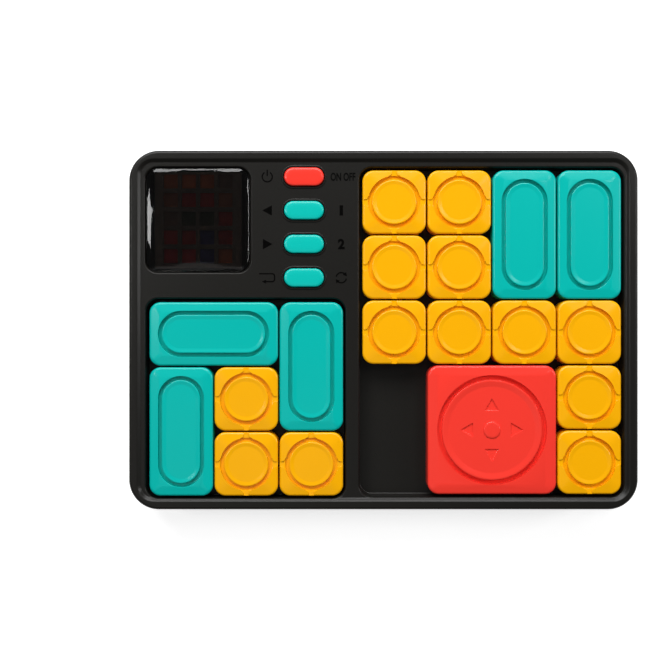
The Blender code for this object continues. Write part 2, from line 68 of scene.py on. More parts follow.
# Outline of the case and the grid that the tiles stand on
CASE_SIZE = (0.180, 0.127)
CASE_CORNER = 0.0106
WALL = 0.0022
PITCH = 0.0230
TILE_SIDE = 0.0224
TILE_ROOM = 0.0022
BOARD_CENTRE = (0.0383, -0.0008)
BOARD_CELLS = (4, 5)
TRAY_CENTRE = (-0.0488, -0.0242)
TRAY_TILES_CENTRE = (-0.0485, -0.0244)
TRAY_CELLS = (3, 3)

# Places that more than one sub-assembly shares
SCREW_PLACES = ((-0.0830, 0.0156), (0.0830, 0.0566), (-0.0830, -0.0566), (0.0830, -0.0566))
BAY_CENTRE = (-0.0510, 0.0380)
SPEAKER_CENTRE = TRAY_CENTRE
LENS_CENTRE = (-0.0657, 0.0390)
BUTTON_X = -0.0281
BUTTON_ROWS = (0.0542, 0.0423, 0.0304, 0.0185)
BUTTON_RUN = 0.0038

# How far cutters reach past the part, below it and above it
BELOW = -0.001
ABOVE = 0.0250

# Two lengths that differ by less count as one, from coarse to fine
LEVEL = 1e-5
SAME = 1e-6
WELD = 1e-7

# The least part of a normal along an axis for a face that looks that way
FACING = 0.9

# A quarter round seen from its outer edge, as (inset, drop) shares of its radius
QUARTER_ROUND = ((0.25, 0.067), (0.25, 0.183), (0.25, 0.28), (0.25, 0.47))


class Kind(Enum):
    """The three kinds of mesh element that edit mode selects."""

    VERTEX = "VERT"
    EDGE = "EDGE"
    FACE = "FACE"


class Carve(Enum):
    """What a Boolean does with its second mesh."""

    CUT = "DIFFERENCE"
    JOIN = "UNION"
    KEEP = "INTERSECT"


class Body(Enum):
    """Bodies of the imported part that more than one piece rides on."""

    CASE = "case"
    DOOR = "door"


# ---------------------------------------------------------------- the bench


def lone(thing: bpy.types.Object) -> None:
    """Makes one object the active one and the only one selected.

    Args:
        thing: The object.
    """
    bpy.ops.object.select_all(action="DESELECT")
    thing.select_set(True)
    bpy.context.view_layer.objects.active = thing


@contextmanager
def editing(thing: bpy.types.Object) -> Iterator[None]:
    """Opens edit mode on one object, with nothing selected, and closes it again.

    Args:
        thing: The object to edit.
    """
    lone(thing)
    bpy.ops.object.mode_set(mode="EDIT")
    bpy.ops.mesh.select_all(action="DESELECT")
    try:
        yield
    finally:
        bpy.ops.object.mode_set(mode="OBJECT")


def pick(kind: Kind, test: Callable[[Any], bool]) -> int:
    """Selects, in edit mode, only the elements of one kind that pass a test.

    Args:
        kind: Vertices, edges or faces.
        test: Takes an element and says whether it is wanted.

    Returns:
        How many elements are now selected.
    """
    bpy.ops.mesh.select_mode(type=kind.value)
    bpy.ops.mesh.select_all(action="DESELECT")
    thing = bpy.context.edit_object
    shape = bmesh.from_edit_mesh(thing.data)
    groups = {Kind.VERTEX: shape.verts, Kind.EDGE: shape.edges, Kind.FACE: shape.faces}
    found = [element for element in groups[kind] if test(element)]
    for element in found:
        element.select_set(True)
    shape.select_flush_mode()
    bmesh.update_edit_mesh(thing.data)
    return len(found)


def lies_at(face: Any, height: float) -> bool:
    """Tells whether a face's middle lies at a height."""
    return abs(face.calc_center_median().z - height) < LEVEL


def faces_up(height: float) -> Callable[[Any], bool]:
    """Makes a test for faces that look up and lie at a height."""
    return lambda face: face.normal.z > FACING and lies_at(face, height)


def faces_down(height: float) -> Callable[[Any], bool]:
    """Makes a test for faces that look down and lie at a height."""
    return lambda face: face.normal.z < -FACING and lies_at(face, height)


def edges_at(height: float) -> Callable[[Any], bool]:
    """Makes a test for edges that lie level at a height."""
    return lambda edge: all(abs(vertex.co.z - height) < SAME for vertex in edge.verts)


def upright(edge: Any) -> bool:
    """Tells whether an edge stands straight up."""
    first, second = edge.verts
    return (first.co.xy - second.co.xy).length < SAME


def step_face(steps: Steps, way: int = 1) -> None:
    """Insets or extrudes the selected face again and again.

    Args:
        steps: Pairs of the inset and of how far the face moves along its normal.
        way: 1 for a face that looks up, -1 for one that looks down.
    """
    for inset, rise in steps:
        if inset:
            bpy.ops.mesh.inset(thickness=inset, depth=rise)
        else:
            bpy.ops.mesh.extrude_region_move(TRANSFORM_OT_translate={"value": (0, 0, way * rise)})


def rounded_steps(radius: float) -> Steps:
    """Steps that round a level edge over into a wall."""
    return [(radius * inset, radius * drop) for inset, drop in QUARTER_ROUND]


def filleted_steps(radius: float) -> Steps:
    """Steps that round a wall into a level face."""
    return [(radius * drop, radius * inset) for inset, drop in QUARTER_ROUND]


def eased_steps(radius: float) -> Steps:
    """Steps that round the end of a wall over into a level face."""
    return [*reversed(rounded_steps(radius))]


def settle(thing: bpy.types.Object, name: str) -> bpy.types.Object:
    """Names a new object and moves its place into its mesh.

    Args:
        thing: The new object.
        name: Its name.

    Returns:
        The same object.
    """
    thing.name = thing.data.name = name
    lone(thing)
    bpy.ops.object.transform_apply(location=True, rotation=True, scale=True)
    return thing


def box(name: str, low: Triple, high: Triple) -> bpy.types.Object:
    """Adds a box between two corners.

    Args:
        name: The object's name.
        low: Its lowest corner.
        high: Its highest corner.

    Returns:
        The new object.
    """
    near, far = Vector(low), Vector(high)
    bpy.ops.object.select_all(action="DESELECT")
    bpy.ops.mesh.primitive_cube_add(size=1, location=(near + far) / 2, scale=far - near)
    return settle(bpy.context.active_object, name)


def rounded_box(
    name: str, centre: Pair, size: Pair, heights: Pair, corner: float, steps: int = 12
) -> bpy.types.Object:
    """Adds a box whose upright edges are rounded.

    Args:
        name: The object's name.
        centre: Its middle, seen from above.
        size: Its width and depth.
        heights: Its bottom and top.
        corner: The radius of its corners.
        steps: Faces in each corner.

    Returns:
        The new object.
    """
    x, y = centre
    half_x, half_y = size[0] / 2, size[1] / 2
    thing = box(name, (x - half_x, y - half_y, heights[0]), (x + half_x, y + half_y, heights[1]))
    with editing(thing):
        pick(Kind.EDGE, upright)
        bpy.ops.mesh.bevel(offset=corner, segments=steps, affect="EDGES")
    return thing


def drum(
    name: str, centre: Pair, radius: float, heights: Pair, run: float = 0.0, sides: int = 64
) -> bpy.types.Object:
    """Adds an upright drum, drawn out along X where it has a run.

    Args:
        name: The object's name.
        centre: Its middle, seen from above.
        radius: The radius of its ends.
        heights: Its bottom and top.
        run: Half the length of its straight sides.
        sides: Faces round it.

    Returns:
        The new object.
    """
    x, y = centre
    bottom, top = heights
    bpy.ops.object.select_all(action="DESELECT")
    bpy.ops.mesh.primitive_cylinder_add(
        vertices=sides,
        radius=radius,
        depth=top - bottom,
        location=(x, y, (bottom + top) / 2),
        rotation=(0, 0, math.pi / sides),
    )
    thing = settle(bpy.context.active_object, name)
    if run:
        with editing(thing):
            for way in (1, -1):
                pick(Kind.VERTEX, lambda vertex: WELD < way * (vertex.co.x - x) <= radius)
                bpy.ops.transform.translate(value=(way * run, 0, 0))
    return thing


def shape_top(thing: bpy.types.Object, height: float, steps: Steps) -> None:
    """Shapes an object's level top by insets and extrusions.

    Args:
        thing: The object.
        height: The height of its top.
        steps: Pairs of inset and rise.
    """
    with editing(thing):
        pick(Kind.FACE, faces_up(height))
        step_face(steps)


def shape_bottom(thing: bpy.types.Object, height: float, steps: Steps) -> None:
    """Shapes an object's level underside by insets and extrusions.

    Args:
        thing: The object.
        height: The height of its underside.
        steps: Pairs of inset and drop.
    """
    with editing(thing):
        pick(Kind.FACE, faces_down(height))
        step_face(steps, way=-1)


def carve(
    thing: bpy.types.Object, others: Sequence[bpy.types.Object], how: Carve = Carve.CUT
) -> bpy.types.Object:
    """Applies Booleans to an object and takes the other meshes away.

    Args:
        thing: The object that stays.
        others: The meshes that cut it, join it or bound it, in order.
        how: What each of them does.

    Returns:
        The object that stays.
    """
    for other in others:
        lone(thing)
        modifier = thing.modifiers.new("carve", "BOOLEAN")
        modifier.operation = how.value
        modifier.solver = "EXACT"
        modifier.object = other
        bpy.ops.object.modifier_apply(modifier=modifier.name)
        bpy.data.objects.remove(other, do_unlink=True)
    return thing


def merged(things: Sequence[bpy.types.Object]) -> bpy.types.Object:
    """Joins separate meshes into the first one, without a Boolean.

    Args:
        things: The meshes.

    Returns:
        The first, with the others in it.
    """
    lone(things[0])
    for other in things[1:]:
        other.select_set(True)
    if len(things) > 1:
        bpy.ops.object.join()
    return things[0]


def soften(
    thing: bpy.types.Object, width: float, segments: int = 3, angle: float = 35.0
) -> None:
    """Rounds every edge that is sharper than an angle.

    Args:
        thing: The object.
        width: How wide the rounding is.
        segments: Faces across it.
        angle: The least angle, in degrees.
    """
    lone(thing)
    modifier = thing.modifiers.new("edges", "BEVEL")
    modifier.width = width
    modifier.segments = segments
    modifier.limit_method = "ANGLE"
    modifier.angle_limit = math.radians(angle)
    modifier.use_clamp_overlap = True
    bpy.ops.object.modifier_apply(modifier=modifier.name)


def polish(thing: bpy.types.Object, angle: float = 30.0) -> None:
    """Shades an object smooth, with flat faces that stay flat.

    Args:
        thing: The object.
        angle: The least angle of a sharp edge, in degrees.
    """
    lone(thing)
    bpy.ops.object.shade_smooth_by_angle(angle=math.radians(angle))
    modifier = thing.modifiers.new("normals", "WEIGHTED_NORMAL")
    modifier.keep_sharp = True
    modifier.weight = 50
    bpy.ops.object.modifier_apply(modifier=modifier.name)


def copied(
    pattern: bpy.types.Object, name: str, place: Triple, turn: float = 0.0
) -> bpy.types.Object:
    """Copies an object with a mesh of its own.

    Args:
        pattern: The object to copy, modelled round the origin.
        name: The copy's name.
        place: Where the pattern's origin goes.
        turn: How far it turns about the vertical, in radians.

    Returns:
        The copy, with its place in its mesh.
    """
    lone(pattern)
    bpy.ops.object.duplicate()
    copy = bpy.context.active_object
    copy.rotation_euler = (0, 0, turn)
    copy.location = place
    return settle(copy, name)


def discard(thing: bpy.types.Object) -> None:
    """Takes a pattern away once its copies are made."""
    bpy.data.objects.remove(thing, do_unlink=True)


def cell_place(centre: Pair, cells: tuple[int, int], column: float, row: float) -> Pair:
    """Finds the middle of a cell.

    Args:
        centre: The middle of the field.
        cells: How many columns and rows it has.
        column: 1 at the left.
        row: 1 at the back.

    Returns:
        The place, seen from above.
    """
    x = centre[0] + (column - (cells[0] + 1) / 2) * PITCH
    y = centre[1] - (row - (cells[1] + 1) / 2) * PITCH
    return x, y


# ---------------------------------------------------------------- the finishes


class Recipe:
    """A material whose nodes are being set out."""

    def __init__(self, name: str) -> None:
        """Starts an empty material of that name.

        Args:
            name: The material's name.
        """
        self.material = bpy.data.materials.new(name)
        self.material.use_nodes = True
        self.tree = self.material.node_tree
        self.tree.nodes.clear()

    def add(
        self, kind: str, values: dict[Any, Any] | None = None, **settings: Any
    ) -> bpy.types.Node:
        """Adds a node.

        Args:
            kind: The node's type, without its common first part.
            values: What its input sockets hold, or the output sockets they take.
            **settings: The node's own properties.

        Returns:
            The new node.
        """
        node = self.tree.nodes.new("ShaderNode" + kind)
        for setting, value in settings.items():
            setattr(node, setting, value)
        for socket, value in (values or {}).items():
            if isinstance(value, bpy.types.NodeSocket):
                self.tree.links.new(value, node.inputs[socket])
            else:
                node.inputs[socket].default_value = value
        return node

    def place(self) -> bpy.types.NodeSocket:
        """Gives the point on the piece, in metres."""
        return self.add("TexCoord").outputs["Object"]

    def stretched(self, scale: Triple, turn: Triple = (0, 0, 0)) -> bpy.types.NodeSocket:
        """Gives the point on the piece, scaled along each axis."""
        node = self.add("Mapping", {"Vector": self.place(), "Scale": scale, "Rotation": turn})
        return node.outputs["Vector"]

    def noise(
        self, scale: float, detail: float = 3.0, vector: Any = None, rough: float = 0.5
    ) -> bpy.types.NodeSocket:
        """Gives cloudy noise from 0 to 1.

        Args:
            scale: How fine it is.
            detail: How many octaves it has.
            vector: Where it is read, if not at the point on the piece.
            rough: How strong its fine octaves are.

        Returns:
            The noise.
        """
        shape = {"Scale": scale, "Detail": detail, "Roughness": rough}
        values = {"Vector": vector or self.place(), **shape}
        return self.add("TexNoise", values).outputs[0]

    def ranged(self, value: Any, old: Pair, new: Pair) -> bpy.types.NodeSocket:
        """Maps a value from one range to another, held at both ends.

        Args:
            value: The value or its socket.
            old: The range it is in.
            new: The range it goes to.

        Returns:
            The new value.
        """
        names = ("From Min", "From Max", "To Min", "To Max")
        values = dict(zip(names, (*old, *new)))
        return self.add("MapRange", {"Value": value, **values}).outputs[0]

    def cells(self, scale: float) -> bpy.types.NodeSocket:
        """Gives the distance to the middle of the nearest cell."""
        values = {"Vector": self.place(), "Scale": scale}
        return self.add("TexVoronoi", values).outputs["Distance"]

    def mixed(self, share: Any, first: Any, second: Any) -> bpy.types.NodeSocket:
        """Mixes two colours.

        Args:
            share: How much there is of the second.
            first: A colour or its socket.
            second: Another.

        Returns:
            The colour.
        """
        node = self.add("Mix", data_type="RGBA")
        colours = [socket for socket in node.inputs if socket.type == "RGBA"]
        for socket, value in ((node.inputs[0], share), (colours[0], first), (colours[1], second)):
            if isinstance(value, bpy.types.NodeSocket):
                self.tree.links.new(value, socket)
            else:
                socket.default_value = value
        return next(socket for socket in node.outputs if socket.type == "RGBA")

    def combined(self, operation: str, first: Any, second: Any) -> bpy.types.NodeSocket:
        """Does arithmetic on two values."""
        return self.add("Math", {0: first, 1: second}, operation=operation).outputs[0]

    def bumped(
        self, height: Any, depth: float, strength: float = 1.0, below: Any = None
    ) -> bpy.types.NodeSocket:
        """Turns a height into a surface normal.

        Args:
            height: The height's socket.
            depth: How far the full height stands out.
            strength: How much of it shows.
            below: The normal that it lies on, if any.

        Returns:
            The normal.
        """
        values = {"Height": height, "Distance": depth, "Strength": strength}
        if below is not None:
            values["Normal"] = below
        return self.add("Bump", values).outputs[0]

    def surface(self, values: dict[str, Any]) -> bpy.types.Material:
        """Ends the material in one principled shader."""
        return self.shown(self.add("BsdfPrincipled", values).outputs[0])

    def shown(self, shader: bpy.types.NodeSocket) -> bpy.types.Material:
        """Ends the material in a shader of its own."""
        self.add("OutputMaterial", {"Surface": shader})
        return self.material


def tinted(colour: Triple, share: float) -> tuple[float, float, float, float]:
    """Gives a colour made lighter or darker by a share."""
    return (*[min(1.0, channel * share) for channel in colour], 1.0)


@dataclass(frozen=True)
class MouldedPlastic:
    """Injection moulded plastic with a fine grain from the mould.

    Attributes:
        name: The material's name.
        colour: Its linear colour.
        roughness: Its middle roughness.
        grain: How many grains there are in a metre.
        depth: How deep the grain is.
        mottle: How much its colour varies.
        specular: The strength of its plain reflection.
    """

    name: str
    colour: Triple
    roughness: float = 0.38
    grain: float = 2600.0
    depth: float = 0.000012
    mottle: float = 0.025
    specular: float = 0.5

    def material(self) -> bpy.types.Material:
        """Builds the material.

        Returns:
            The material.
        """
        recipe = Recipe(self.name)
        cloud = recipe.noise(38.0, 3.0)
        grain = recipe.noise(self.grain, 3.0, rough=0.6)
        flow = recipe.noise(9.0, 4.0, recipe.stretched((6.0, 40.0, 12.0)))
        light, dark = tinted(self.colour, 1 + self.mottle), tinted(self.colour, 1 - self.mottle)
        colour = recipe.mixed(cloud, dark, light)
        scuffs = recipe.noise(120.0, 5.0, recipe.stretched((2.0, 26.0, 4.0), (0, 0, 0.6)), 0.65)
        marks = recipe.ranged(scuffs, (0.60, 0.74), (0.0, 0.05))
        uneven = recipe.ranged(grain, (0.3, 0.7), (self.roughness - 0.03, self.roughness + 0.03))
        roughness = recipe.combined("ADD", uneven, marks)
        waves = recipe.bumped(flow, 0.00003, 0.25)
        normal = recipe.bumped(grain, self.depth, 0.8, waves)
        return recipe.surface(
            {
                "Base Color": colour,
                "Roughness": roughness,
                "Normal": normal,
                "Specular IOR Level": self.specular,
                "IOR": 1.5,
            }
        )


@dataclass(frozen=True)
class TilePlastic(MouldedPlastic):
    """The finer, glossier plastic of the tiles."""

    roughness: float = 0.21
    depth: float = 0.000006
    specular: float = 0.30


@dataclass(frozen=True)
class ButtonPlastic(MouldedPlastic):
    """The plastic of the buttons."""

    roughness: float = 0.24
    specular: float = 0.35


@dataclass(frozen=True)
class SmokedLens:
    """Dark clear plastic that lets a little light through."""

    name: str = "smoked_lens_plastic"
    colour: Triple = (0.17, 0.165, 0.16)
    roughness: float = 0.02

    def material(self) -> bpy.types.Material:
        """Builds the material.

        Returns:
            The material.
        """
        recipe = Recipe(self.name)
        haze = recipe.noise(55.0, 4.0)
        wipes = recipe.noise(90.0, 5.0, recipe.stretched((1.5, 14.0, 3.0), (0, 0, 0.9)), 0.6)
        colour = recipe.mixed(haze, tinted(self.colour, 0.92), tinted(self.colour, 1.06))
        roughness = recipe.ranged(wipes, (0.4, 0.8), (self.roughness, self.roughness + 0.05))
        normal = recipe.bumped(recipe.noise(30.0, 2.0), 0.00002, 0.2)
        return recipe.surface(
            {
                "Base Color": colour,
                "Roughness": roughness,
                "Normal": normal,
                "Transmission Weight": 1.0,
                "IOR": 1.49,
            }
        )


@dataclass(frozen=True)
class LitWindowOrPaintedGlow:
    """A diffuser that glows in one colour, with the dots of its light behind it. On the grid
    between the windows the same glow is painted light.
    """

    name: str
    colour: Triple
    power: float

    def material(self) -> bpy.types.Material:
        """Builds the material.

        Returns:
            The material.
        """
        recipe = Recipe(self.name)
        cells = recipe.cells(1300.0)
        dots = recipe.ranged(cells, (0.15, 0.55), (1.0, 0.35))
        cloud = recipe.ranged(recipe.noise(420.0, 3.0), (0.3, 0.7), (0.6, 1.0))
        level = recipe.combined("MULTIPLY", dots, cloud)
        power = recipe.combined("MULTIPLY", level, self.power)
        values = {
            "Base Color": tinted(self.colour, 0.6),
            "Roughness": 0.6,
            "Emission Color": tinted(self.colour, 1.0),
            "Emission Strength": power,
        }
        return recipe.surface(values)


@dataclass(frozen=True)
class Print:
    """Ink printed on the case."""

    name: str = "black_print"
    colour: Triple = (0.0014, 0.0013, 0.0012)
    roughness: float = 0.26
    specular: float = 0.04

    def material(self) -> bpy.types.Material:
        """Builds the material.

        Returns:
            The material.
        """
        recipe = Recipe(self.name)
        specks = recipe.noise(2400.0, 4.0)
        share = recipe.ranged(specks, (0.5, 0.75), (0.0, 1.0))
        colour = recipe.mixed(share, tinted(self.colour, 1.0), tinted(self.colour, 1.5))
        roughness = recipe.ranged(specks, (0.3, 0.7), (self.roughness, self.roughness + 0.12))
        normal = recipe.bumped(specks, 0.000006, 0.6)
        return recipe.surface(
            {
                "Base Color": colour,
                "Roughness": roughness,
                "Normal": normal,
                "Specular IOR Level": self.specular,
            }
        )


@dataclass(frozen=True)
class PlatedMetal:
    """Bare or plated metal with fine brushing and dull spots."""

    name: str
    colour: Triple
    roughness: float = 0.28
    brush: Triple = (20.0, 900.0, 20.0)

    def material(self) -> bpy.types.Material:
        """Builds the material.

        Returns:
            The material.
        """
        recipe = Recipe(self.name)
        brushed = recipe.noise(4.0, 4.0, recipe.stretched(self.brush))
        spots = recipe.ranged(recipe.noise(260.0, 4.0), (0.45, 0.75), (0.0, 1.0))
        colour = recipe.mixed(spots, tinted(self.colour, 1.0), tinted(self.colour, 0.72))
        fine = recipe.ranged(brushed, (0.3, 0.7), (self.roughness - 0.06, self.roughness + 0.08))
        roughness = recipe.combined("ADD", fine, recipe.combined("MULTIPLY", spots, 0.12))
        normal = recipe.bumped(brushed, 0.00001, 0.5)
        return recipe.surface(
            {"Base Color": colour, "Metallic": 1.0, "Roughness": roughness, "Normal": normal}
        )


@dataclass(frozen=True)
class CircuitBoard:
    """Green solder mask over copper tracks."""

    name: str = "board_mask"
    mask: Triple = (0.010, 0.105, 0.040)
    copper: Triple = (0.020, 0.190, 0.070)
    tin: Triple = (0.62, 0.61, 0.58)

    def material(self) -> bpy.types.Material:
        """Builds the material.

        Returns:
            The material.
        """
        recipe = Recipe(self.name)
        bricks = {"Mortar Size": 0.03, "Brick Width": 1.9, "Row Height": 0.32}
        values = {"Vector": recipe.place(), "Scale": 260.0, **bricks}
        tracks = recipe.add("TexBrick", values).outputs["Fac"]
        dots = recipe.cells(230.0)
        pads = recipe.ranged(dots, (0.13, 0.16), (1.0, 0.0))
        laid = recipe.mixed(tracks, tinted(self.mask, 1.0), tinted(self.copper, 1.0))
        colour = recipe.mixed(pads, laid, tinted(self.tin, 1.0))
        normal = recipe.bumped(recipe.combined("ADD", tracks, pads), 0.00004, 0.6)
        roughness = recipe.ranged(recipe.noise(600.0), (0.3, 0.7), (0.28, 0.42))
        return recipe.surface(
            {"Base Color": colour, "Metallic": pads, "Roughness": roughness, "Normal": normal}
        )


@dataclass(frozen=True)
class CellSleeve:
    """The shrink sleeve of a battery, with a plain band near its positive end."""

    name: str = "cell_sleeve"
    colour: Triple = (0.030, 0.048, 0.075)
    band: Triple = (0.55, 0.42, 0.20)

    def material(self) -> bpy.types.Material:
        """Builds the material.

        Returns:
            The material.
        """
        recipe = Recipe(self.name)
        values = {"Vector": recipe.place(), "Scale": 7.0, "Distortion": 0.0}
        bands = recipe.add("TexWave", values, bands_direction="X")
        share = recipe.ranged(bands.outputs[0], (0.80, 0.82), (0.0, 1.0))
        creases = recipe.noise(30.0, 4.0, recipe.stretched((60.0, 6.0, 6.0)))
        colour = recipe.mixed(share, tinted(self.colour, 1.0), tinted(self.band, 1.0))
        normal = recipe.bumped(creases, 0.00004, 0.5)
        roughness = recipe.ranged(creases, (0.3, 0.7), (0.22, 0.36))
        return recipe.surface({"Base Color": colour, "Roughness": roughness, "Normal": normal})


def dressed(
    thing: bpy.types.Object,
    material: bpy.types.Material,
    body: str,
    nodes: Sequence[str] = (),
) -> bpy.types.Object:
    """Gives a finished piece its material, slot and body.

    Args:
        thing: The piece.
        material: Its finish.
        body: The body it rides on.
        nodes: CAD nodes that it stands for.

    Returns:
        The piece.
    """
    thing.data.materials.clear()
    thing.data.materials.append(material)
    for polygon in thing.data.polygons:
        polygon.material_index = 0
    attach(thing, body)
    if nodes:
        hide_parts(*nodes)
    log.info("%s: %d faces on %s", thing.name, len(thing.data.polygons), body)
    return thing


# ---------------------------------------------------------------- the tiles


@dataclass
class Tile:
    """A sliding tile: four facets round a grooved ring, and a dished island.

    Attributes:
        name: The pattern's name.
        width: Its size along X.
        depth: Its size along Y.
        ring: The outer radius of its groove.
        run: Half the straight length of its groove, 0 for a round one.
        groove_width: How wide the groove is.
        facet_run: How far the facets reach in from the edge.
        facet_rise: How far they rise.
        island_top: The height of the island above the tile's underside.
        island_steps: How the island's top is shaped.
        corner: The radius of its upright edges.
        height: Its full height.
        groove_depth: How deep the groove is below the full height.
        ridge: How softly the facets meet.
        brim: How softly the facets turn down into the sides.
        magnet: Radius and run of the magnet recess.
        recess_top: The height of the recess's ceiling.
        eaves: The slope of the cutter that rounds the corners, above its shoulder.
        cutter_top: How high the groove's cutter reaches.
        root: How far the island reaches below the groove's floor.
        softness: How wide the rounding of the other edges is.
    """

    name: str
    width: float
    depth: float
    ring: float
    run: float
    groove_width: float
    facet_run: float
    facet_rise: float
    island_top: float
    island_steps: Steps
    corner: float = 0.0039
    height: float = 0.0087
    groove_depth: float = 0.0020
    ridge: float = 0.0007
    brim: float = 0.00045
    magnet: Pair = (0.0043, 0.0)
    recess_top: float = 0.0026
    eaves: Steps = ((0.0009, 0.00042), (0.0009, 0.00042))
    cutter_top: float = 0.0110
    root: float = 0.0003
    softness: float = 0.00018

    def blank(self) -> bpy.types.Object:
        """Models the block with its four facets and rounded corners.

        Returns:
            The blank.
        """
        half_x, half_y = self.width / 2, self.depth / 2
        edge = self.height - self.facet_rise
        block = box(self.name, (-half_x, -half_y, 0), (half_x, half_y, edge))
        with editing(block):
            pick(Kind.FACE, faces_up(edge))
            bpy.ops.mesh.inset(thickness=self.facet_run, depth=self.facet_rise)
            pick(Kind.EDGE, self.is_ridge)
            bpy.ops.mesh.bevel(offset=self.ridge, segments=4, affect="EDGES")
        shoulder = edge - self.brim
        size = (self.width, self.depth)
        outline = rounded_box("outline", (0, 0), size, (BELOW, shoulder), self.corner)
        shape_top(outline, shoulder, [*filleted_steps(self.brim), *self.eaves])
        return carve(block, [outline], Carve.KEEP)

    def is_ridge(self, edge: Any) -> bool:
        """Tells whether an edge climbs from a corner, between two facets."""
        first, second = edge.verts
        return abs(abs(first.co.z - second.co.z) - self.facet_rise) < SAME

    def groove(self) -> list[bpy.types.Object]:
        """Models what is cut from the blank round the island."""
        heights = (self.height - self.groove_depth, self.cutter_top)
        return [drum("groove", (0, 0), self.ring, heights, self.run)]

    def island(self) -> bpy.types.Object:
        """Models the dished island inside the groove.

        Returns:
            The island.
        """
        bottom = self.height - self.groove_depth - self.root
        rise = sum(step[1] for step in self.island_steps if step[1] > 0)
        start = self.island_top - rise
        shape = drum("island", (0, 0), self.ring - self.groove_width, (bottom, start), self.run)
        shape_top(shape, start, self.island_steps)
        return shape

    def recess(self) -> list[bpy.types.Object]:
        """Models the room for the magnet in the underside."""
        radius, run = self.magnet
        return [drum("recess", (0, 0), radius, (BELOW, self.recess_top), run, 48)]

    def pattern(self) -> bpy.types.Object:
        """Models one tile round the origin.

        Returns:
            The finished pattern, ready to be copied.
        """
        tile = self.blank()
        carve(tile, self.groove() + self.recess())
        carve(tile, [self.island()], Carve.JOIN)
        soften(tile, self.softness)
        polish(tile)
        return tile


@dataclass
class SquareTile(Tile):
    """A tile of one cell, whose ring opens towards the middle of each side.

    Attributes:
        slot_half: Half the width of a slot at its floor.
        slot_slope: How much wider than that each side is at the slot's top.
        slot_floor: The height of its floor.
        slot_height: How high its cutter is.
        slot_start: Where it starts to flare into the ring, from the tile's middle.
        slot_end: Where its cutter ends, past the tile's side.
        flare: How far each stretch of the flare reaches, and how much it widens.
    """

    slot_half: float = 0.00086
    slot_slope: float = 0.00012
    slot_floor: float = 0.00782
    slot_height: float = 0.0006
    slot_start: float = 0.0104
    slot_end: float = 0.0118
    flare: Steps = (
        (0.00030, 0.00003), (0.00030, 0.00010), (0.00025, 0.00018),
        (0.00020, 0.00028), (0.00015, 0.00042), (0.00060, 0.0),
    )  # fmt: skip

    def slot(self) -> bpy.types.Object:
        """Models one slot's cutter: sloping sides, and a flare where it meets the groove.

        Returns:
            The cutter.
        """
        start, half, floor = self.slot_start, self.slot_half, self.slot_floor
        shape = box("slot", (-half, start, floor), (half, self.slot_end, floor + self.slot_height))
        with editing(shape):
            pick(Kind.VERTEX, lambda vertex: vertex.co.z > floor + self.slot_height / 2)
            wider = (half + self.slot_slope) / half
            bpy.ops.transform.resize(value=(wider, 1, 1), center_override=(0, start, 0))
            pick(Kind.FACE, lambda face: face.normal.y < -FACING)
            place, share = start, 1.0
            for reach, more in self.flare:
                place -= reach
                bpy.ops.mesh.extrude_region_move(TRANSFORM_OT_translate={"value": (0, -reach, 0)})
                wider = (share * half + more) / (share * half)
                bpy.ops.transform.resize(value=(wider, 1, 1), center_override=(0, place, 0))
                share *= wider
        return shape

    def groove(self) -> list[bpy.types.Object]:
        """Models the groove and the four slots.

        Returns:
            The cutters.
        """
        slot = self.slot()
        turns = [quarter * math.pi / 2 for quarter in range(4)]
        slots = [copied(slot, f"slot_{i}", (0, 0, 0), turn) for i, turn in enumerate(turns)]
        discard(slot)
        return super().groove() + slots


@dataclass
class BlockTile(Tile):
    """The large tile, with four arrows round a boss in its dish.

    Attributes:
        dish_depth: How deep the dish is below the full height.
        arrow_place: How far the arrows are from the tile's middle.
        arrow_radius: The radius of the circle round an arrowhead.
        arrow_height: How high its cutter is before its steps.
        arrow_corner: The radius of its corners.
        arrow_lift: How far the cutter's middle is above the dish.
        arrow_steps: How the cutter's underside is shaped.
        boss_radius: The radius of the boss.
        boss_heights: Its bottom and top, measured from the dish, before its steps.
        boss_steps: How its top is shaped.
    """

    dish_depth: float = 0.00034
    arrow_place: float = 0.0082
    arrow_radius: float = 0.0030
    arrow_height: float = 0.0016
    arrow_corner: float = 0.0004
    arrow_lift: float = 0.00055
    arrow_steps: Steps = ((0.00012, 0.00016), (0.00020, 0.00006))
    boss_radius: float = 0.0030
    boss_heights: Pair = (-0.0004, 0.0002)
    boss_steps: Steps = ((0.0001, 0.0001), (0.0003, 0.0001), (0.0006, 0.00003))

    def arrows(self, floor: float) -> list[bpy.types.Object]:
        """Models the cutters of the four arrowheads, which point outwards.

        Args:
            floor: The height of the dish.

        Returns:
            The cutters.
        """
        bpy.ops.object.select_all(action="DESELECT")
        bpy.ops.mesh.primitive_cylinder_add(
            vertices=3,
            radius=self.arrow_radius,
            depth=self.arrow_height,
            rotation=(0, 0, -math.pi / 2),
        )
        arrow = settle(bpy.context.active_object, "arrow")
        with editing(arrow):
            pick(Kind.EDGE, upright)
            bpy.ops.mesh.bevel(offset=self.arrow_corner, segments=4, affect="EDGES")
            pick(Kind.FACE, faces_down(-self.arrow_height / 2))
            step_face(self.arrow_steps, way=-1)
        cutters = []
        for quarter in range(4):
            turn = quarter * math.pi / 2
            x, y = self.arrow_place * math.cos(turn), self.arrow_place * math.sin(turn)
            cutters.append(copied(arrow, f"arrow_{quarter}", (x, y, floor + self.arrow_lift), turn))
        discard(arrow)
        return cutters

    def island(self) -> bpy.types.Object:
        """Models the island with a raised boss and four arrows cut in its dish.

        Returns:
            The island.
        """
        shape = super().island()
        floor = self.height - self.dish_depth
        bottom, top = (floor + height for height in self.boss_heights)
        boss = drum("boss", (0, 0), self.boss_radius, (bottom, top), sides=48)
        shape_top(boss, top, self.boss_steps)
        carve(shape, [boss], Carve.JOIN)
        return carve(shape, self.arrows(floor))


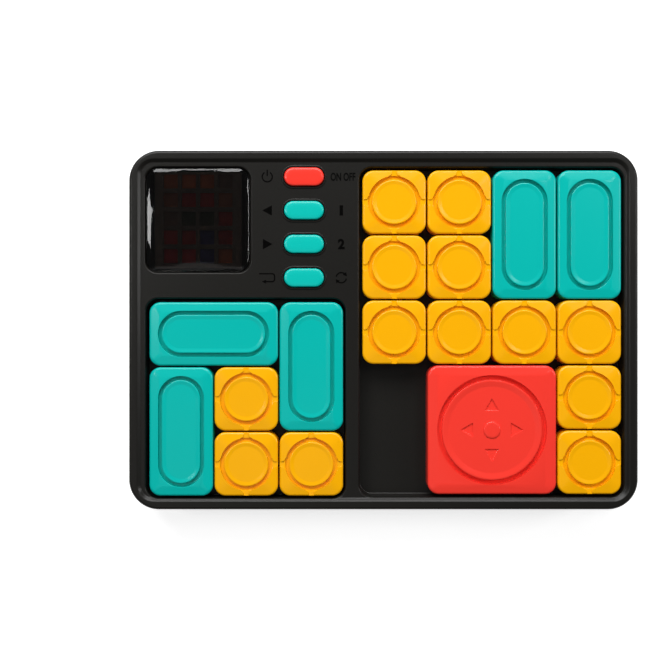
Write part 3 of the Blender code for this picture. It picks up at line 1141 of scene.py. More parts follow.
@dataclass
class Tiles:
    """All the tiles on the board and in the tray.

    Attributes:
        yellow: The finish of the squares.
        teal: The finish of the bars.
        red: The finish of the block.
        board_squares: Column and row of each square on the board.
        tray_squares: Column and row of each square in the tray.
        dish: How the island of a square or a bar is shaped.
        block_dish: How the island of the block is shaped.
    """

    yellow: TilePlastic = TilePlastic("yellow_tile_plastic", (0.965, 0.445, 0.0005))
    teal: TilePlastic = TilePlastic("teal_tile_plastic", (0.0003, 0.476, 0.424))
    red: TilePlastic = TilePlastic("red_tile_plastic", (0.945, 0.046, 0.030))
    board_squares: tuple[tuple[int, int], ...] = (
        (1, 1), (2, 1), (1, 2), (2, 2), (1, 3), (2, 3), (3, 3), (4, 3), (4, 4), (4, 5),
    )  # fmt: skip
    tray_squares: tuple[tuple[int, int], ...] = ((2, 2), (2, 3), (3, 3))
    dish: Steps = (
        (0.00006, 0.00010), (0.00014, 0.00007), (0.00020, 0.0), (0.00012, -0.00001),
        (0.00095, -0.00018), (0.00012, -0.00001), (0.00015, 0.0),
    )  # fmt: skip
    block_dish: Steps = (
        (0.00006, 0.00010), (0.00014, 0.00008), (0.00035, 0.0), (0.00020, -0.00002),
        (0.00140, -0.00027), (0.00015, -0.00004), (0.00020, -0.00001),
    )  # fmt: skip

    def squares(self) -> None:
        """Builds the thirteen yellow tiles."""
        form = SquareTile(
            name="square_tile", width=TILE_SIDE, depth=TILE_SIDE, ring=0.00922, run=0.0,
            groove_width=0.00142, facet_run=0.0046, facet_rise=0.00062, island_top=0.0085,
            island_steps=self.dish, groove_depth=0.0017, ridge=0.0014,
        )  # fmt: skip
        pattern = form.pattern()
        material = self.yellow.material()
        places = [cell_place(BOARD_CENTRE, BOARD_CELLS, *cell) for cell in self.board_squares]
        places += [cell_place(TRAY_TILES_CENTRE, TRAY_CELLS, *cell) for cell in self.tray_squares]
        for number, (x, y) in enumerate(places, 1):
            node = f"square_tile_{number:02d}"
            tile = copied(pattern, f"yellow_tile_{number:02d}", (x, y, TILE_SEAT))
            dressed(tile, material, node, [node])
        discard(pattern)

    def bars(self) -> None:
        """Builds the five teal tiles."""
        form = Tile(
            name="bar_tile", width=TILE_SIDE + PITCH, depth=TILE_SIDE, ring=0.00810,
            run=PITCH / 2, groove_width=0.00137, facet_run=0.0034, facet_rise=0.00056,
            island_top=0.0087, island_steps=self.dish, magnet=(0.0043, 0.0110),
        )  # fmt: skip
        pattern = form.pattern()
        material = self.teal.material()
        quarter = math.pi / 2
        board = [(cell_place(BOARD_CENTRE, BOARD_CELLS, column, 1.5), quarter) for column in (3, 4)]
        tray = [
            (cell_place(TRAY_TILES_CENTRE, TRAY_CELLS, 1.5, 1), 0.0),
            (cell_place(TRAY_TILES_CENTRE, TRAY_CELLS, 3, 1.5), quarter),
            (cell_place(TRAY_TILES_CENTRE, TRAY_CELLS, 1, 2.5), quarter),
        ]
        for number, ((x, y), turn) in enumerate(board + tray, 1):
            node = f"bar_tile_{number}"
            tile = copied(pattern, f"teal_tile_{number}", (x, y, TILE_SEAT), turn)
            dressed(tile, material, node, [node])
        discard(pattern)

    def block(self) -> None:
        """Builds the large red tile."""
        side = TILE_SIDE + PITCH
        form = BlockTile(
            name="red_tile", width=side, depth=side, ring=0.0194, run=0.0,
            groove_width=0.00172, facet_run=0.0034, facet_rise=0.00056, island_top=0.0087,
            island_steps=self.block_dish, magnet=(0.0125, 0.0),
        )  # fmt: skip
        pattern = form.pattern()
        x, y = cell_place(BOARD_CENTRE, BOARD_CELLS, 2.5, 4.5)
        tile = copied(pattern, "red_block", (x, y, TILE_SEAT))
        dressed(tile, self.red.material(), "block_tile", ["block_tile"])
        discard(pattern)

    def build(self) -> None:
        """Builds every tile."""
        self.squares()
        self.bars()
        self.block()


# ---------------------------------------------------------------- the case


BLACK = MouldedPlastic(
    "black_case_plastic", (0.0102, 0.0096, 0.0083), 0.30,
    grain=3400.0, depth=0.000014, mottle=0.07, specular=0.27,
)  # fmt: skip


def pocket_size(cells: tuple[int, int]) -> Pair:
    """Gives the width and depth of a pocket of so many columns and rows."""
    across, down = ((n - 1) * PITCH + TILE_SIDE + TILE_ROOM for n in cells)
    return across, down


def at_bay(name: str, half: float, span: Pair, heights: Pair) -> bpy.types.Object:
    """Adds a box centred on the battery bay from left to right.

    Args:
        name: The box's name.
        half: Half its width.
        span: Its front and back.
        heights: Its bottom and top.

    Returns:
        The box.
    """
    x = BAY_CENTRE[0]
    return box(name, (x - half, span[0], heights[0]), (x + half, span[1], heights[1]))


@dataclass
class CaseTop:
    """The upper housing: rim, panel, board pocket, tray pocket, and openings.

    Attributes:
        rim_width: How wide the rim is at its top.
        rim_round: The radius of its outer edge.
        rim_steps: How it slopes down to the panel.
        rim_corner: The radius of its inner corners.
        mouth: The radius of a pocket's upper edge.
        fillet: The radius between a pocket's wall and floor.
        pocket_corner: The radius of a pocket's corners.
        seat_side: The side of the display's seat.
        seat_corner: The radius of its corners.
        seat_mouth: The radius of its upper edge.
        seat_floor: The height of its floor.
        window_half: Half the window's width and depth.
        window_heights: The bottom and top of the window's cutter.
        hole: The radius of a button hole.
        hole_bottom: Where a hole's cutter starts.
        collar: The outer radius of a button's collar.
        collar_heights: Its bottom and top, before its steps.
        collar_steps: How its top is shaped.
        lower_heights: The bottom and top of the room over the whole case.
        upper_heights: The bottom and top of the room under the panel.
        upper_corner: The radius of that room's corners.
        spare: How much thicker than elsewhere the outer walls are beside it.
        post: The radius of a screw post.
        post_bottom: Where the posts start.
        post_tops: Where a post ends, under the panel and under a pocket.
        pilot: The radius of the hole in a post.
        pilot_heights: The bottom and top of that hole.
    """

    rim_width: float = 0.0027
    rim_round: float = 0.0011
    rim_steps: Steps = (
        (0.00025, 0.00006), (0.00030, 0.00016), (0.00060, 0.00046),
        (0.00025, 0.00014), (0.00020, 0.00008),
    )  # fmt: skip
    rim_corner: float = 0.0060
    mouth: float = 0.0006
    fillet: float = 0.0005
    pocket_corner: float = 0.0045
    seat_side: float = 0.0370
    seat_corner: float = 0.0043
    seat_mouth: float = 0.0007
    seat_floor: float = 0.0203
    window_half: Pair = (0.0155, 0.0173)
    window_heights: Pair = (0.0180, 0.0215)
    hole: float = 0.0036
    hole_bottom: float = 0.0170
    collar: float = 0.00425
    collar_heights: Pair = (0.0215, PANEL_TOP + 0.0001)
    collar_steps: Steps = ((0.0001, 0.0001), (0.0002, 0.0001))
    lower_heights: Pair = (0.0070, 0.0123)
    upper_heights: Pair = (0.0110, 0.0191)
    upper_corner: float = 0.0082
    spare: float = 0.0002
    post: float = 0.0033
    post_bottom: float = 0.0052
    post_tops: tuple[float, ...] = (0.0196, 0.0126, 0.0126, 0.0126)
    pilot: float = 0.00165
    pilot_heights: Pair = (0.0040, 0.0117)

    def pocket(self, centre: Pair, cells: tuple[int, int]) -> bpy.types.Object:
        """Models a pocket's cutter, with a rounded mouth and a filleted floor.

        Args:
            centre: The pocket's middle.
            cells: Its columns and rows.

        Returns:
            The cutter.
        """
        width, depth = pocket_size(cells)
        mouth, fillet = self.mouth, self.fillet
        size = (width + 2 * mouth, depth + 2 * mouth)
        corner = self.pocket_corner + mouth
        shape = rounded_box("pocket", centre, size, (PANEL_TOP, ABOVE), corner)
        drop = PANEL_TOP - POCKET_FLOOR - mouth - fillet
        shape_bottom(
            shape, PANEL_TOP, [*rounded_steps(mouth), (0.0, drop), *filleted_steps(fillet)]
        )
        return shape

    def recess(self) -> bpy.types.Object:
        """Models what is cut out above the panel, inside the rim.

        Returns:
            The cutter.
        """
        size = (CASE_SIZE[0] - 2 * self.rim_width, CASE_SIZE[1] - 2 * self.rim_width)
        shape = rounded_box("recess", (0, 0), size, (RIM_TOP, ABOVE), self.rim_corner)
        shape_bottom(shape, RIM_TOP, self.rim_steps)
        return shape

    def hollows(self) -> list[bpy.types.Object]:
        """Models the rooms inside, which the rear housing closes.

        Returns:
            The cutters.
        """
        lower = (CASE_SIZE[0] - 2 * WALL, CASE_SIZE[1] - 2 * WALL)
        left = -CASE_SIZE[0] / 2 + WALL + self.spare
        back = CASE_SIZE[1] / 2 - WALL - self.spare
        right = BOARD_CENTRE[0] - pocket_size(BOARD_CELLS)[0] / 2 - WALL
        front = TRAY_CENTRE[1] + pocket_size(TRAY_CELLS)[1] / 2 + WALL
        centre = ((left + right) / 2, (front + back) / 2)
        upper = (right - left, back - front)
        return [
            rounded_box("lower", (0, 0), lower, self.lower_heights, CASE_CORNER - WALL),
            rounded_box("upper", centre, upper, self.upper_heights, self.upper_corner),
        ]

    def seat(self) -> bpy.types.Object:
        """Models the cutter of the display's seat, with a rounded mouth.

        Returns:
            The cutter.
        """
        mouth = self.seat_mouth
        side = self.seat_side + 2 * mouth
        corner = self.seat_corner + mouth
        shape = rounded_box("seat", LENS_CENTRE, (side, side), (PANEL_TOP, ABOVE), corner)
        drop = PANEL_TOP - self.seat_floor - mouth
        shape_bottom(shape, PANEL_TOP, [*rounded_steps(mouth), (0.0, drop)])
        return shape

    def openings(self) -> list[bpy.types.Object]:
        """Models the display's seat and window and the four button holes.

        Returns:
            The cutters.
        """
        (x, y), (half_x, half_y) = LENS_CENTRE, self.window_half
        bottom, top = self.window_heights
        window = box("window", (x - half_x, y - half_y, bottom), (x + half_x, y + half_y, top))
        cuts = [self.seat(), window]
        heights = (self.hole_bottom, ABOVE)
        for row in BUTTON_ROWS:
            cuts.append(drum("hole", (BUTTON_X, row), self.hole, heights, BUTTON_RUN))
        return cuts

    def collars(self) -> list[bpy.types.Object]:
        """Models the fine ring round each button hole.

        Returns:
            The rings.
        """
        rings = []
        for row in BUTTON_ROWS:
            ring = drum("collar", (BUTTON_X, row), self.collar, self.collar_heights, BUTTON_RUN)
            shape_top(ring, self.collar_heights[1], self.collar_steps)
            rings.append(ring)
        return rings

    def posts(self) -> list[bpy.types.Object]:
        """Models the posts that the case screws bite in.

        Returns:
            The posts.
        """
        posts = []
        for place, top in zip(SCREW_PLACES, self.post_tops):
            posts.append(drum("post", place, self.post, (self.post_bottom, top), sides=32))
        return posts

    def pilots(self) -> list[bpy.types.Object]:
        """Models the cutters of the holes in the posts."""
        return [drum("pilot", at, self.pilot, self.pilot_heights, sides=32) for at in SCREW_PLACES]

    def build(self) -> bpy.types.Object:
        """Models and dresses the upper housing.

        Returns:
            The housing.
        """
        heights = (REAR_TOP + GAP, RIM_TOP)
        shell = rounded_box("case_top", (0, 0), CASE_SIZE, heights, CASE_CORNER, 20)
        with editing(shell):
            pick(Kind.EDGE, edges_at(RIM_TOP))
            bpy.ops.mesh.bevel(offset=self.rim_round, segments=5, affect="EDGES")
        carve(shell, [self.recess()])
        carve(shell, self.collars(), Carve.JOIN)
        cuts = [self.pocket(BOARD_CENTRE, BOARD_CELLS), self.pocket(TRAY_CENTRE, TRAY_CELLS)]
        carve(shell, cuts + self.hollows() + self.openings())
        carve(shell, self.posts(), Carve.JOIN)
        carve(shell, self.pilots())
        soften(shell, 0.00012, segments=2, angle=40.0)
        polish(shell, 32.0)
        return dressed(shell, BLACK.material(), Body.CASE.value, ["top_housing"])


@dataclass
class CaseRear:
    """The rear housing: feet, battery bay, door slot, speaker grille and screw ways.

    Attributes:
        under: The height of its underside, above the feet.
        edge: The radius of its lower edge.
        floor: The height of its floor.
        fillet: The radius between its floor and walls.
        room_top: How high the cutter of its inside reaches.
        foot_reach: How far the feet are from the middle.
        foot: The radius of a foot.
        foot_heights: The bottom and top of a foot, before its edge is rounded.
        foot_round: The radius of that edge, which reaches down to the resting plane.
        bay_wall_half: Half the bay's outer width and depth.
        bay_wall_heights: The bottom and top of its walls.
        bay_half: Half its inner width and depth.
        bay_ceiling: The height of its ceiling.
        apron_half: Half the width of the thick floor round the door.
        apron_span: The front and back of that floor.
        apron_heights: Its bottom and top.
        door_half: Half the width of the door's way.
        rail_half: Half the width of the grooves for its tongues.
        way_span: The front and back of the door's way.
        way_top: The height of its ceiling.
        rail_heights: The bottom and top of the grooves.
        notch_front: Where the notch for the door's lip starts.
        notch_top: The height of the notch.
        speaker_wall: The outer radius of the ring round the speaker.
        speaker_wall_heights: Its bottom and top.
        speaker_room: The inner radius of that ring.
        speaker_top: How high the cutter of the room in it reaches.
        grille_rows: The places of the grille's slots, counted from the middle.
        grille_pitch: How far the slots are apart.
        grille_half: Half the width of a slot.
        grille_run: Half the length of the middle slot's straight sides.
        grille_loss: How much shorter that is on each next slot.
        grille_top: How high the cutters of the slots reach.
        boss: The radius of a screw boss.
        boss_heights: Its bottom and top.
        mouth: The radius of the way for a screw's head.
        mouth_steps: How that way goes on above its chamfer.
        shank_way: The radius of the way for its shank.
        shank_top: How high that way reaches.
    """

    under: float = 0.0008
    edge: float = 0.0012
    floor: float = 0.0030
    fillet: float = 0.0008
    room_top: float = 0.0100
    foot_reach: Pair = (0.0835, 0.0460)
    foot: float = 0.0035
    foot_heights: Pair = (0.0004, 0.0013)
    foot_round: float = 0.0004
    bay_wall_half: Pair = (0.0267, 0.0127)
    bay_wall_heights: Pair = (0.0020, 0.0143)
    bay_half: Pair = (0.0255, 0.0115)
    bay_ceiling: float = 0.0136
    apron_half: float = 0.0291
    apron_span: Pair = (0.0233, 0.0624)
    apron_heights: Pair = (0.0021, 0.0042)
    door_half: float = 0.0263
    rail_half: float = 0.0278
    way_span: Pair = (0.0247, 0.0655)
    way_top: float = 0.0016
    rail_heights: Pair = (0.0015, 0.0030)
    notch_front: float = 0.0610
    notch_top: float = 0.0063
    speaker_wall: float = 0.0156
    speaker_wall_heights: Pair = (0.0020, 0.0055)
    speaker_room: float = 0.0144
    speaker_top: float = 0.0070
    grille_rows: tuple[int, ...] = (-2, -1, 0, 1, 2)
    grille_pitch: float = 0.0030
    grille_half: float = 0.0006
    grille_run: float = 0.0084
    grille_loss: float = 0.0015
    grille_top: float = 0.0040
    boss: float = 0.0045
    boss_heights: Pair = (0.0020, 0.0047)
    mouth: float = 0.0036
    mouth_steps: Steps = ((0.0004, 0.0004), (0.0, 0.0020))
    shank_way: float = 0.0017
    shank_top: float = 0.0060

    def shell(self) -> bpy.types.Object:
        """Models the tray itself, rounded below and hollow above.

        Returns:
            The tray.
        """
        low = self.under + self.edge
        shell = rounded_box("case_rear", (0, 0), CASE_SIZE, (low, REAR_TOP), CASE_CORNER, 20)
        shape_bottom(shell, low, eased_steps(self.edge))
        size = (CASE_SIZE[0] - 2 * WALL, CASE_SIZE[1] - 2 * WALL)
        floor = self.floor + self.fillet
        room = rounded_box("room", (0, 0), size, (floor, self.room_top), CASE_CORNER - WALL)
        shape_bottom(room, floor, filleted_steps(self.fillet))
        return carve(shell, [room])

    def added(self) -> list[bpy.types.Object]:
        """Models the feet, the screw bosses, and the walls of the bay and the speaker.

        Returns:
            The pieces to join.
        """
        y = BAY_CENTRE[1]
        half, deep = self.bay_wall_half
        wall, ring = self.speaker_wall, self.speaker_wall_heights
        pieces = [
            at_bay("bay_walls", half, (y - deep, y + deep), self.bay_wall_heights),
            at_bay("apron", self.apron_half, self.apron_span, self.apron_heights),
            drum("speaker_wall", SPEAKER_CENTRE, wall, ring),
        ]
        for place in SCREW_PLACES:
            pieces.append(drum("boss", place, self.boss, self.boss_heights, sides=40))
        for side_x in (-1, 1):
            for side_y in (-1, 1):
                place = (side_x * self.foot_reach[0], side_y * self.foot_reach[1])
                foot = drum("foot", place, self.foot, self.foot_heights, sides=48)
                shape_bottom(foot, self.foot_heights[0], eased_steps(self.foot_round))
                pieces.append(foot)
        return pieces

    def cuts(self) -> list[bpy.types.Object]:
        """Models the cutters of the bay, the door's way, the grille and the screw ways.

        Returns:
            The cutters.
        """
        y = BAY_CENTRE[1]
        half, deep = self.bay_half
        notch = (self.notch_front, self.way_span[1])
        pieces = [
            at_bay("bay", half, (y - deep, y + deep), (BELOW, self.bay_ceiling)),
            at_bay("door_way", self.door_half, self.way_span, (BELOW, self.way_top)),
            at_bay("rails", self.rail_half, self.way_span, self.rail_heights),
            at_bay("notch", self.door_half, notch, (BELOW, self.notch_top)),
            drum("speaker_room", SPEAKER_CENTRE, self.speaker_room, (self.floor, self.speaker_top)),
        ]
        return pieces + self.grille() + self.screw_ways()

    def grille(self) -> list[bpy.types.Object]:
        """Models the cutters of the slots under the speaker.

        Returns:
            The cutters.
        """
        slots = []
        heights = (BELOW, self.grille_top)
        for row in self.grille_rows:
            centre = (SPEAKER_CENTRE[0], SPEAKER_CENTRE[1] + self.grille_pitch * row)
            run = self.grille_run - self.grille_loss * abs(row)
            slots.append(drum("grille", centre, self.grille_half, heights, run, 24))
        return slots

    def screw_ways(self) -> list[bpy.types.Object]:
        """Models the cutters for the heads and the shanks of the case screws.

        Returns:
            The cutters.
        """
        ways = []
        for place in SCREW_PLACES:
            mouth = drum("mouth", place, self.mouth, (BELOW, self.under), sides=40)
            shape_top(mouth, self.under, self.mouth_steps)
            shank = drum("shank_way", place, self.shank_way, (BELOW, self.shank_top), sides=32)
            ways += [mouth, shank]
        return ways

    def build(self) -> bpy.types.Object:
        """Models and dresses the rear housing.

        Returns:
            The housing.
        """
        shell = self.shell()
        carve(shell, self.added(), Carve.JOIN)
        carve(shell, self.cuts())
        soften(shell, 0.00015, segments=2, angle=40.0)
        polish(shell, 32.0)
        return dressed(shell, BLACK.material(), Body.CASE.value, ["rear_housing"])


@dataclass
class BatteryDoor:
    """The door that slides off the battery bay towards the back."""

    half: float = 0.0260
    span: Pair = (0.0250, 0.0635)
    heights: Pair = (0.0008, 0.0027)
    back_round: float = 0.0012
    near: float = 1e-4
    tongue_half: float = 0.0275
    tongue_back: float = 0.0610
    tongue_heights: Pair = (0.0018, 0.0026)
    lip_span: Pair = (0.0613, 0.0634)
    lip_heights: Pair = (0.0022, 0.0060)
    grip_rows: tuple[float, ...] = (0.0476, 0.0506, 0.0536)
    grip_half: float = 0.0006
    grip_run: float = 0.0064
    grip_top: float = 0.0011
    grip_steps: Steps = ((0.0002, 0.00015), (0.0002, 0.00005))

    def on_back_edge(self, edge: Any) -> bool:
        """Tells whether an edge is the door's lower edge at the back."""
        back, low = self.span[1] - self.near, self.heights[0] + self.near
        return all(vertex.co.y > back and vertex.co.z < low for vertex in edge.verts)

    def build(self) -> bpy.types.Object:
        """Models and dresses the door.

        Returns:
            The door.
        """
        door = at_bay("bay_door", self.half, self.span, self.heights)
        with editing(door):
            pick(Kind.EDGE, self.on_back_edge)
            bpy.ops.mesh.bevel(offset=self.back_round, segments=6, affect="EDGES")
        tongues = (self.span[0], self.tongue_back)
        parts = [
            at_bay("tongues", self.tongue_half, tongues, self.tongue_heights),
            at_bay("lip", self.half, self.lip_span, self.lip_heights),
        ]
        carve(door, parts, Carve.JOIN)
        grips = []
        for row in self.grip_rows:
            place, heights = (BAY_CENTRE[0], row), (BELOW, self.grip_top)
            grip = drum("grip", place, self.grip_half, heights, self.grip_run, 24)
            shape_top(grip, self.grip_top, self.grip_steps)
            grips.append(grip)
        carve(door, grips)
        soften(door, 0.00018, segments=3, angle=40.0)
        polish(door, 32.0)
        return dressed(door, BLACK.material(), Body.DOOR.value, ["battery_door"])


@dataclass
class Screws:
    """The four screws that hold the two housings together."""

    head: float = 0.0028
    head_heights: Pair = (0.0013, 0.0029)
    head_round: float = 0.0005
    shank: float = 0.00125
    root: float = 0.0003
    tip: float = 0.0112
    point: float = 0.0012
    point_steps: Steps = ((0.0003, 0.0003), (0.0005, 0.0009))
    cross: Pair = (0.0018, 0.0004)
    cross_bottom: float = 0.0005
    cross_depth: float = 0.0007
    cross_taper: float = 0.7

    def build(self) -> None:
        """Models one screw with a crossed slot, and copies it."""
        low, high = self.head_heights
        edge = self.head_round
        pattern = drum("screw", (0, 0), self.head, (low + edge, high), sides=48)
        shape_bottom(pattern, low + edge, eased_steps(edge))
        end = self.tip - self.point
        shank = drum("shank", (0, 0), self.shank, (high - self.root, end), sides=32)
        shape_top(shank, end, self.point_steps)
        carve(pattern, [shank], Carve.JOIN)
        taper = (self.cross_taper, self.cross_taper, 1)
        cross_top = low + self.cross_depth
        for across, along in (self.cross, self.cross[::-1]):
            near, far = (-across, -along, self.cross_bottom), (across, along, cross_top)
            slot = box("slot", near, far)
            with editing(slot):
                pick(Kind.VERTEX, lambda vertex: vertex.co.z > low)
                bpy.ops.transform.resize(value=taper, center_override=(0, 0, 0))
            carve(pattern, [slot])
        soften(pattern, 0.00006, segments=2, angle=40.0)
        polish(pattern, 40.0)
        material = PlatedMetal("screw_zinc", (0.55, 0.55, 0.56), 0.34).material()
        for number, place in enumerate(SCREW_PLACES, 1):
            screw = copied(pattern, f"screw_{number}", (*place, 0))
            dressed(screw, material, Body.CASE.value, [f"case_screw_{number}"])
        discard(pattern)


@dataclass
class PowerCells:
    """The two cells in the bay: cans in sleeves, with rolled rims and a button end."""

    axis: float = 0.0082
    spread: float = 0.0056
    radius: float = 0.0052
    length: float = 0.0445
    rim: float = 0.0006
    button: Pair = (0.0018, 0.0010)
    button_edge: float = 0.0002
    dimple: float = 0.0012

    def can(self) -> bpy.types.Object:
        """Models one cell round the origin, standing on its flat end.

        Returns:
            The cell.
        """
        button, rise = self.button
        half, rim = self.length / 2, self.rim
        shoulder = half - rise - rim
        shape = drum("cell", (0, 0), self.radius, (-half + rim, shoulder), sides=56)
        ledge = (self.radius - rim - button) / 2
        edge = self.button_edge
        tip = [(ledge, 0.0), (ledge, 0.0), (0.0, rise - edge), (edge, edge)]
        shape_top(shape, shoulder, [*eased_steps(rim), *tip])
        shape_bottom(shape, -half + rim, [*eased_steps(rim), (self.dimple, 0.0)])
        polish(shape, 40.0)
        return shape

    def build(self) -> None:
        """Builds both cells, which lie opposite ways round."""
        pattern = self.can()
        material = CellSleeve().material()
        for number, side in ((1, 1), (2, -1)):
            cell = copied(pattern, f"cell_{number}", (0, 0, 0))
            cell.rotation_euler = (0, side * math.pi / 2, 0)
            cell.location = (BAY_CENTRE[0], BAY_CENTRE[1] + side * self.spread, self.axis)
            settle(cell, f"cell_{number}")
            dressed(cell, material, Body.CASE.value, [f"battery_{number}"])
        discard(pattern)


@dataclass
class Speaker:
    """The speaker behind the grille: a pressed frame with its magnet, and a cone."""

    radius: float = 0.0140
    face: float = 0.0033
    frame_height: float = 0.0018
    steps: Steps = (
        (0.0004, 0.0002), (0.0011, 0.0003), (0.0044, 0.0006), (0.0006, 0.0001), (0.0, 0.0019),
        (0.0003, 0.0003),
    )  # fmt: skip
    well: Pair = (0.0014, 0.0014)
    well_bottom: float = 0.0020
    cone_gap: float = 0.0016
    cone_heights: Pair = (0.0004, 0.0013)
    cone: Steps = (
        (0.0004, 0.0002), (0.0004, 0.0001), (0.0004, -0.0001), (0.0004, -0.0003),
        (0.0052, -0.0008), (0.0003, 0.0001), (0.0012, 0.0004), (0.0014, 0.0002), (0.0012, 0.0001),
    )  # fmt: skip

    def build(self) -> None:
        """Builds the frame and the cone."""
        top = self.face + self.frame_height
        body = drum("speaker_frame", SPEAKER_CENTRE, self.radius, (self.face, top), sides=72)
        shape_top(body, top, self.steps)
        inset, rise = self.well
        room = (self.well_bottom, self.face + rise)
        carve(body, [drum("well", SPEAKER_CENTRE, self.radius - inset, room, sides=72)])
        soften(body, 0.00012, segments=2, angle=40.0)
        polish(body, 35.0)
        tin = PlatedMetal("speaker_tin", (0.60, 0.60, 0.58), 0.32).material()
        dressed(body, tin, Body.CASE.value, ["speaker"])
        bottom, lid = (self.face + height for height in self.cone_heights)
        edge = self.radius - self.cone_gap
        cone = drum("speaker_cone", SPEAKER_CENTRE, edge, (bottom, lid), sides=72)
        shape_bottom(cone, bottom, self.cone)
        polish(cone, 50.0)
        paper = MouldedPlastic("speaker_cone_paper", (0.035, 0.034, 0.033), 0.62, depth=0.00004)
        dressed(cone, paper.material(), Body.CASE.value)


@dataclass
class Display:
    """The smoked lens and the small lit windows under it.

    Attributes:
        side: The side of the lens.
        corner: The radius of its corners.
        bottom: The height of its underside.
        top: The height of its crown.
        crown: How strongly it is crowned.
        crown_reach: How far from the middle the crown would have fallen by that much.
        crown_cells: How many cells its crowned sheet has across.
        margin: How far that sheet reaches past the lens.
        edge_radius: The radius of its upper edge.
        edge_top: The height at which that edge ends.
        outline_bottom: Where the cutter of its outline starts.
        outline_roof: The last step of that cutter, above the edge.
        pitch: How far the windows are apart.
        first: The middle of the window at the back left.
        window: The side of a cell of the grid.
        window_gap: How much room a window has in it on each side.
        window_heights: The bottom and top of a window, before its steps.
        window_steps: How its top is shaped.
        grid_half: Half the grid's width and depth.
        grid_heights: Its bottom and top.
        cut_heights: The bottom and top of the cutters of its cells.
        layout: Which colour each window has, from the back row to the front.
    """

    side: float = 0.0364
    corner: float = 0.0040
    bottom: float = 0.0206
    top: float = 0.0233
    crown: float = 0.0019
    crown_reach: float = 0.0260
    crown_cells: int = 14
    margin: float = 0.001
    edge_radius: float = 0.0005
    edge_top: float = 0.02235
    outline_bottom: float = 0.0200
    outline_roof: Pair = (0.001, 0.0009)
    pitch: Pair = (0.00644, 0.0066)
    first: Pair = (-0.0755, 0.0528)
    window: float = 0.0052
    window_gap: float = 0.0001
    window_heights: Pair = (0.0176, 0.0184)
    window_steps: Steps = ((0.0003, 0.0002), (0.0006, 0.0001))
    grid_half: Pair = (0.0152, 0.0170)
    grid_heights: Pair = (0.0163, 0.0203)
    cut_heights: Pair = (0.0150, 0.0220)
    layout: tuple[str, ...] = ("ooo.", "nrrn", ".ggr", "rrbr", "ssbo")

    def crown_height(self, x: float, y: float) -> float:
        """Gives the height of the crown at a place measured from its middle."""
        share = (1 - (x / self.crown_reach) ** 2) * (1 - (y / self.crown_reach) ** 2)
        return self.top - self.crown * (1 - share)

    def lens(self) -> bpy.types.Object:
        """Models the lens: a crowned sheet, cut to an outline with a round edge.

        Returns:
            The lens.
        """
        half = self.side / 2 + self.margin
        cells = self.crown_cells
        bpy.ops.object.select_all(action="DESELECT")
        bpy.ops.mesh.primitive_grid_add(x_subdivisions=cells, y_subdivisions=cells, size=2 * half)
        lens = settle(bpy.context.active_object, "smoked_lens")
        lines = [half * (2 * step / cells - 1) for step in range(cells // 2, cells + 1)]
        with editing(lens):
            for across in lines:
                for along in lines:
                    if along > across:
                        continue
                    place = (across, along)
                    pick(Kind.VERTEX, lambda vertex: self.on_ring(vertex.co, place))
                    rise = self.crown_height(across, along)
                    bpy.ops.transform.translate(value=(0, 0, rise))
            bpy.ops.mesh.select_all(action="SELECT")
            bpy.ops.mesh.extrude_region_move(TRANSFORM_OT_translate={"value": (0, 0, -self.top)})
            bpy.ops.transform.resize(value=(1, 1, 0), center_override=(0, 0, self.bottom))
            bpy.ops.mesh.select_all(action="SELECT")
            bpy.ops.mesh.normals_make_consistent(inside=False)
        lens.location = (*LENS_CENTRE, 0)
        settle(lens, "smoked_lens")
        low, radius = self.edge_top - self.edge_radius, self.edge_radius
        size = (self.side, self.side)
        heights = (self.outline_bottom, low)
        outline = rounded_box("outline", LENS_CENTRE, size, heights, self.corner, 16)
        shape_top(outline, low, [*eased_steps(radius), self.outline_roof])
        carve(lens, [outline], Carve.KEEP)
        polish(lens, 50.0)
        finish = SmokedLens().material()
        return dressed(lens, finish, Body.CASE.value, ["display_lens"])

    @staticmethod
    def on_ring(point: Vector, place: Pair) -> bool:
        """Tells whether a point mirrors a place over an axis or a diagonal."""
        sides = sorted((abs(point.x), abs(point.y)), reverse=True)
        return abs(sides[0] - place[0]) < LEVEL and abs(sides[1] - place[1]) < LEVEL

    def grid(self) -> bpy.types.Object:
        """Models the grid that parts the lights.

        Returns:
            The grid.
        """
        (x, y), (half_x, half_y) = LENS_CENTRE, self.grid_half
        bottom, top = self.grid_heights
        grid = box("light_louvre", (x - half_x, y - half_y, bottom), (x + half_x, y + half_y, top))
        half = self.window / 2
        low, high = self.cut_heights
        cuts = []
        for row, line in enumerate(self.layout):
            for column in range(len(line)):
                cx, cy = self.place(column, row)
                cut = box("cell", (cx - half, cy - half, low), (cx + half, cy + half, high))
                cuts.append(cut)
        carve(grid, [merged(cuts)])
        soften(grid, 0.00015, segments=2)
        polish(grid)
        # The grid is given a faint glow of its own: painted light standing in for the light the
        # windows spill onto it.
        finish = LitWindowOrPaintedGlow("louvre_painted_glow", (0.34, 0.25, 0.20), 0.06)
        return dressed(grid, finish.material(), Body.CASE.value, ["light_grid"])

    def place(self, column: int, row: int) -> Pair:
        """Gives the middle of a lit window, with row 0 at the back."""
        return self.first[0] + column * self.pitch[0], self.first[1] - row * self.pitch[1]

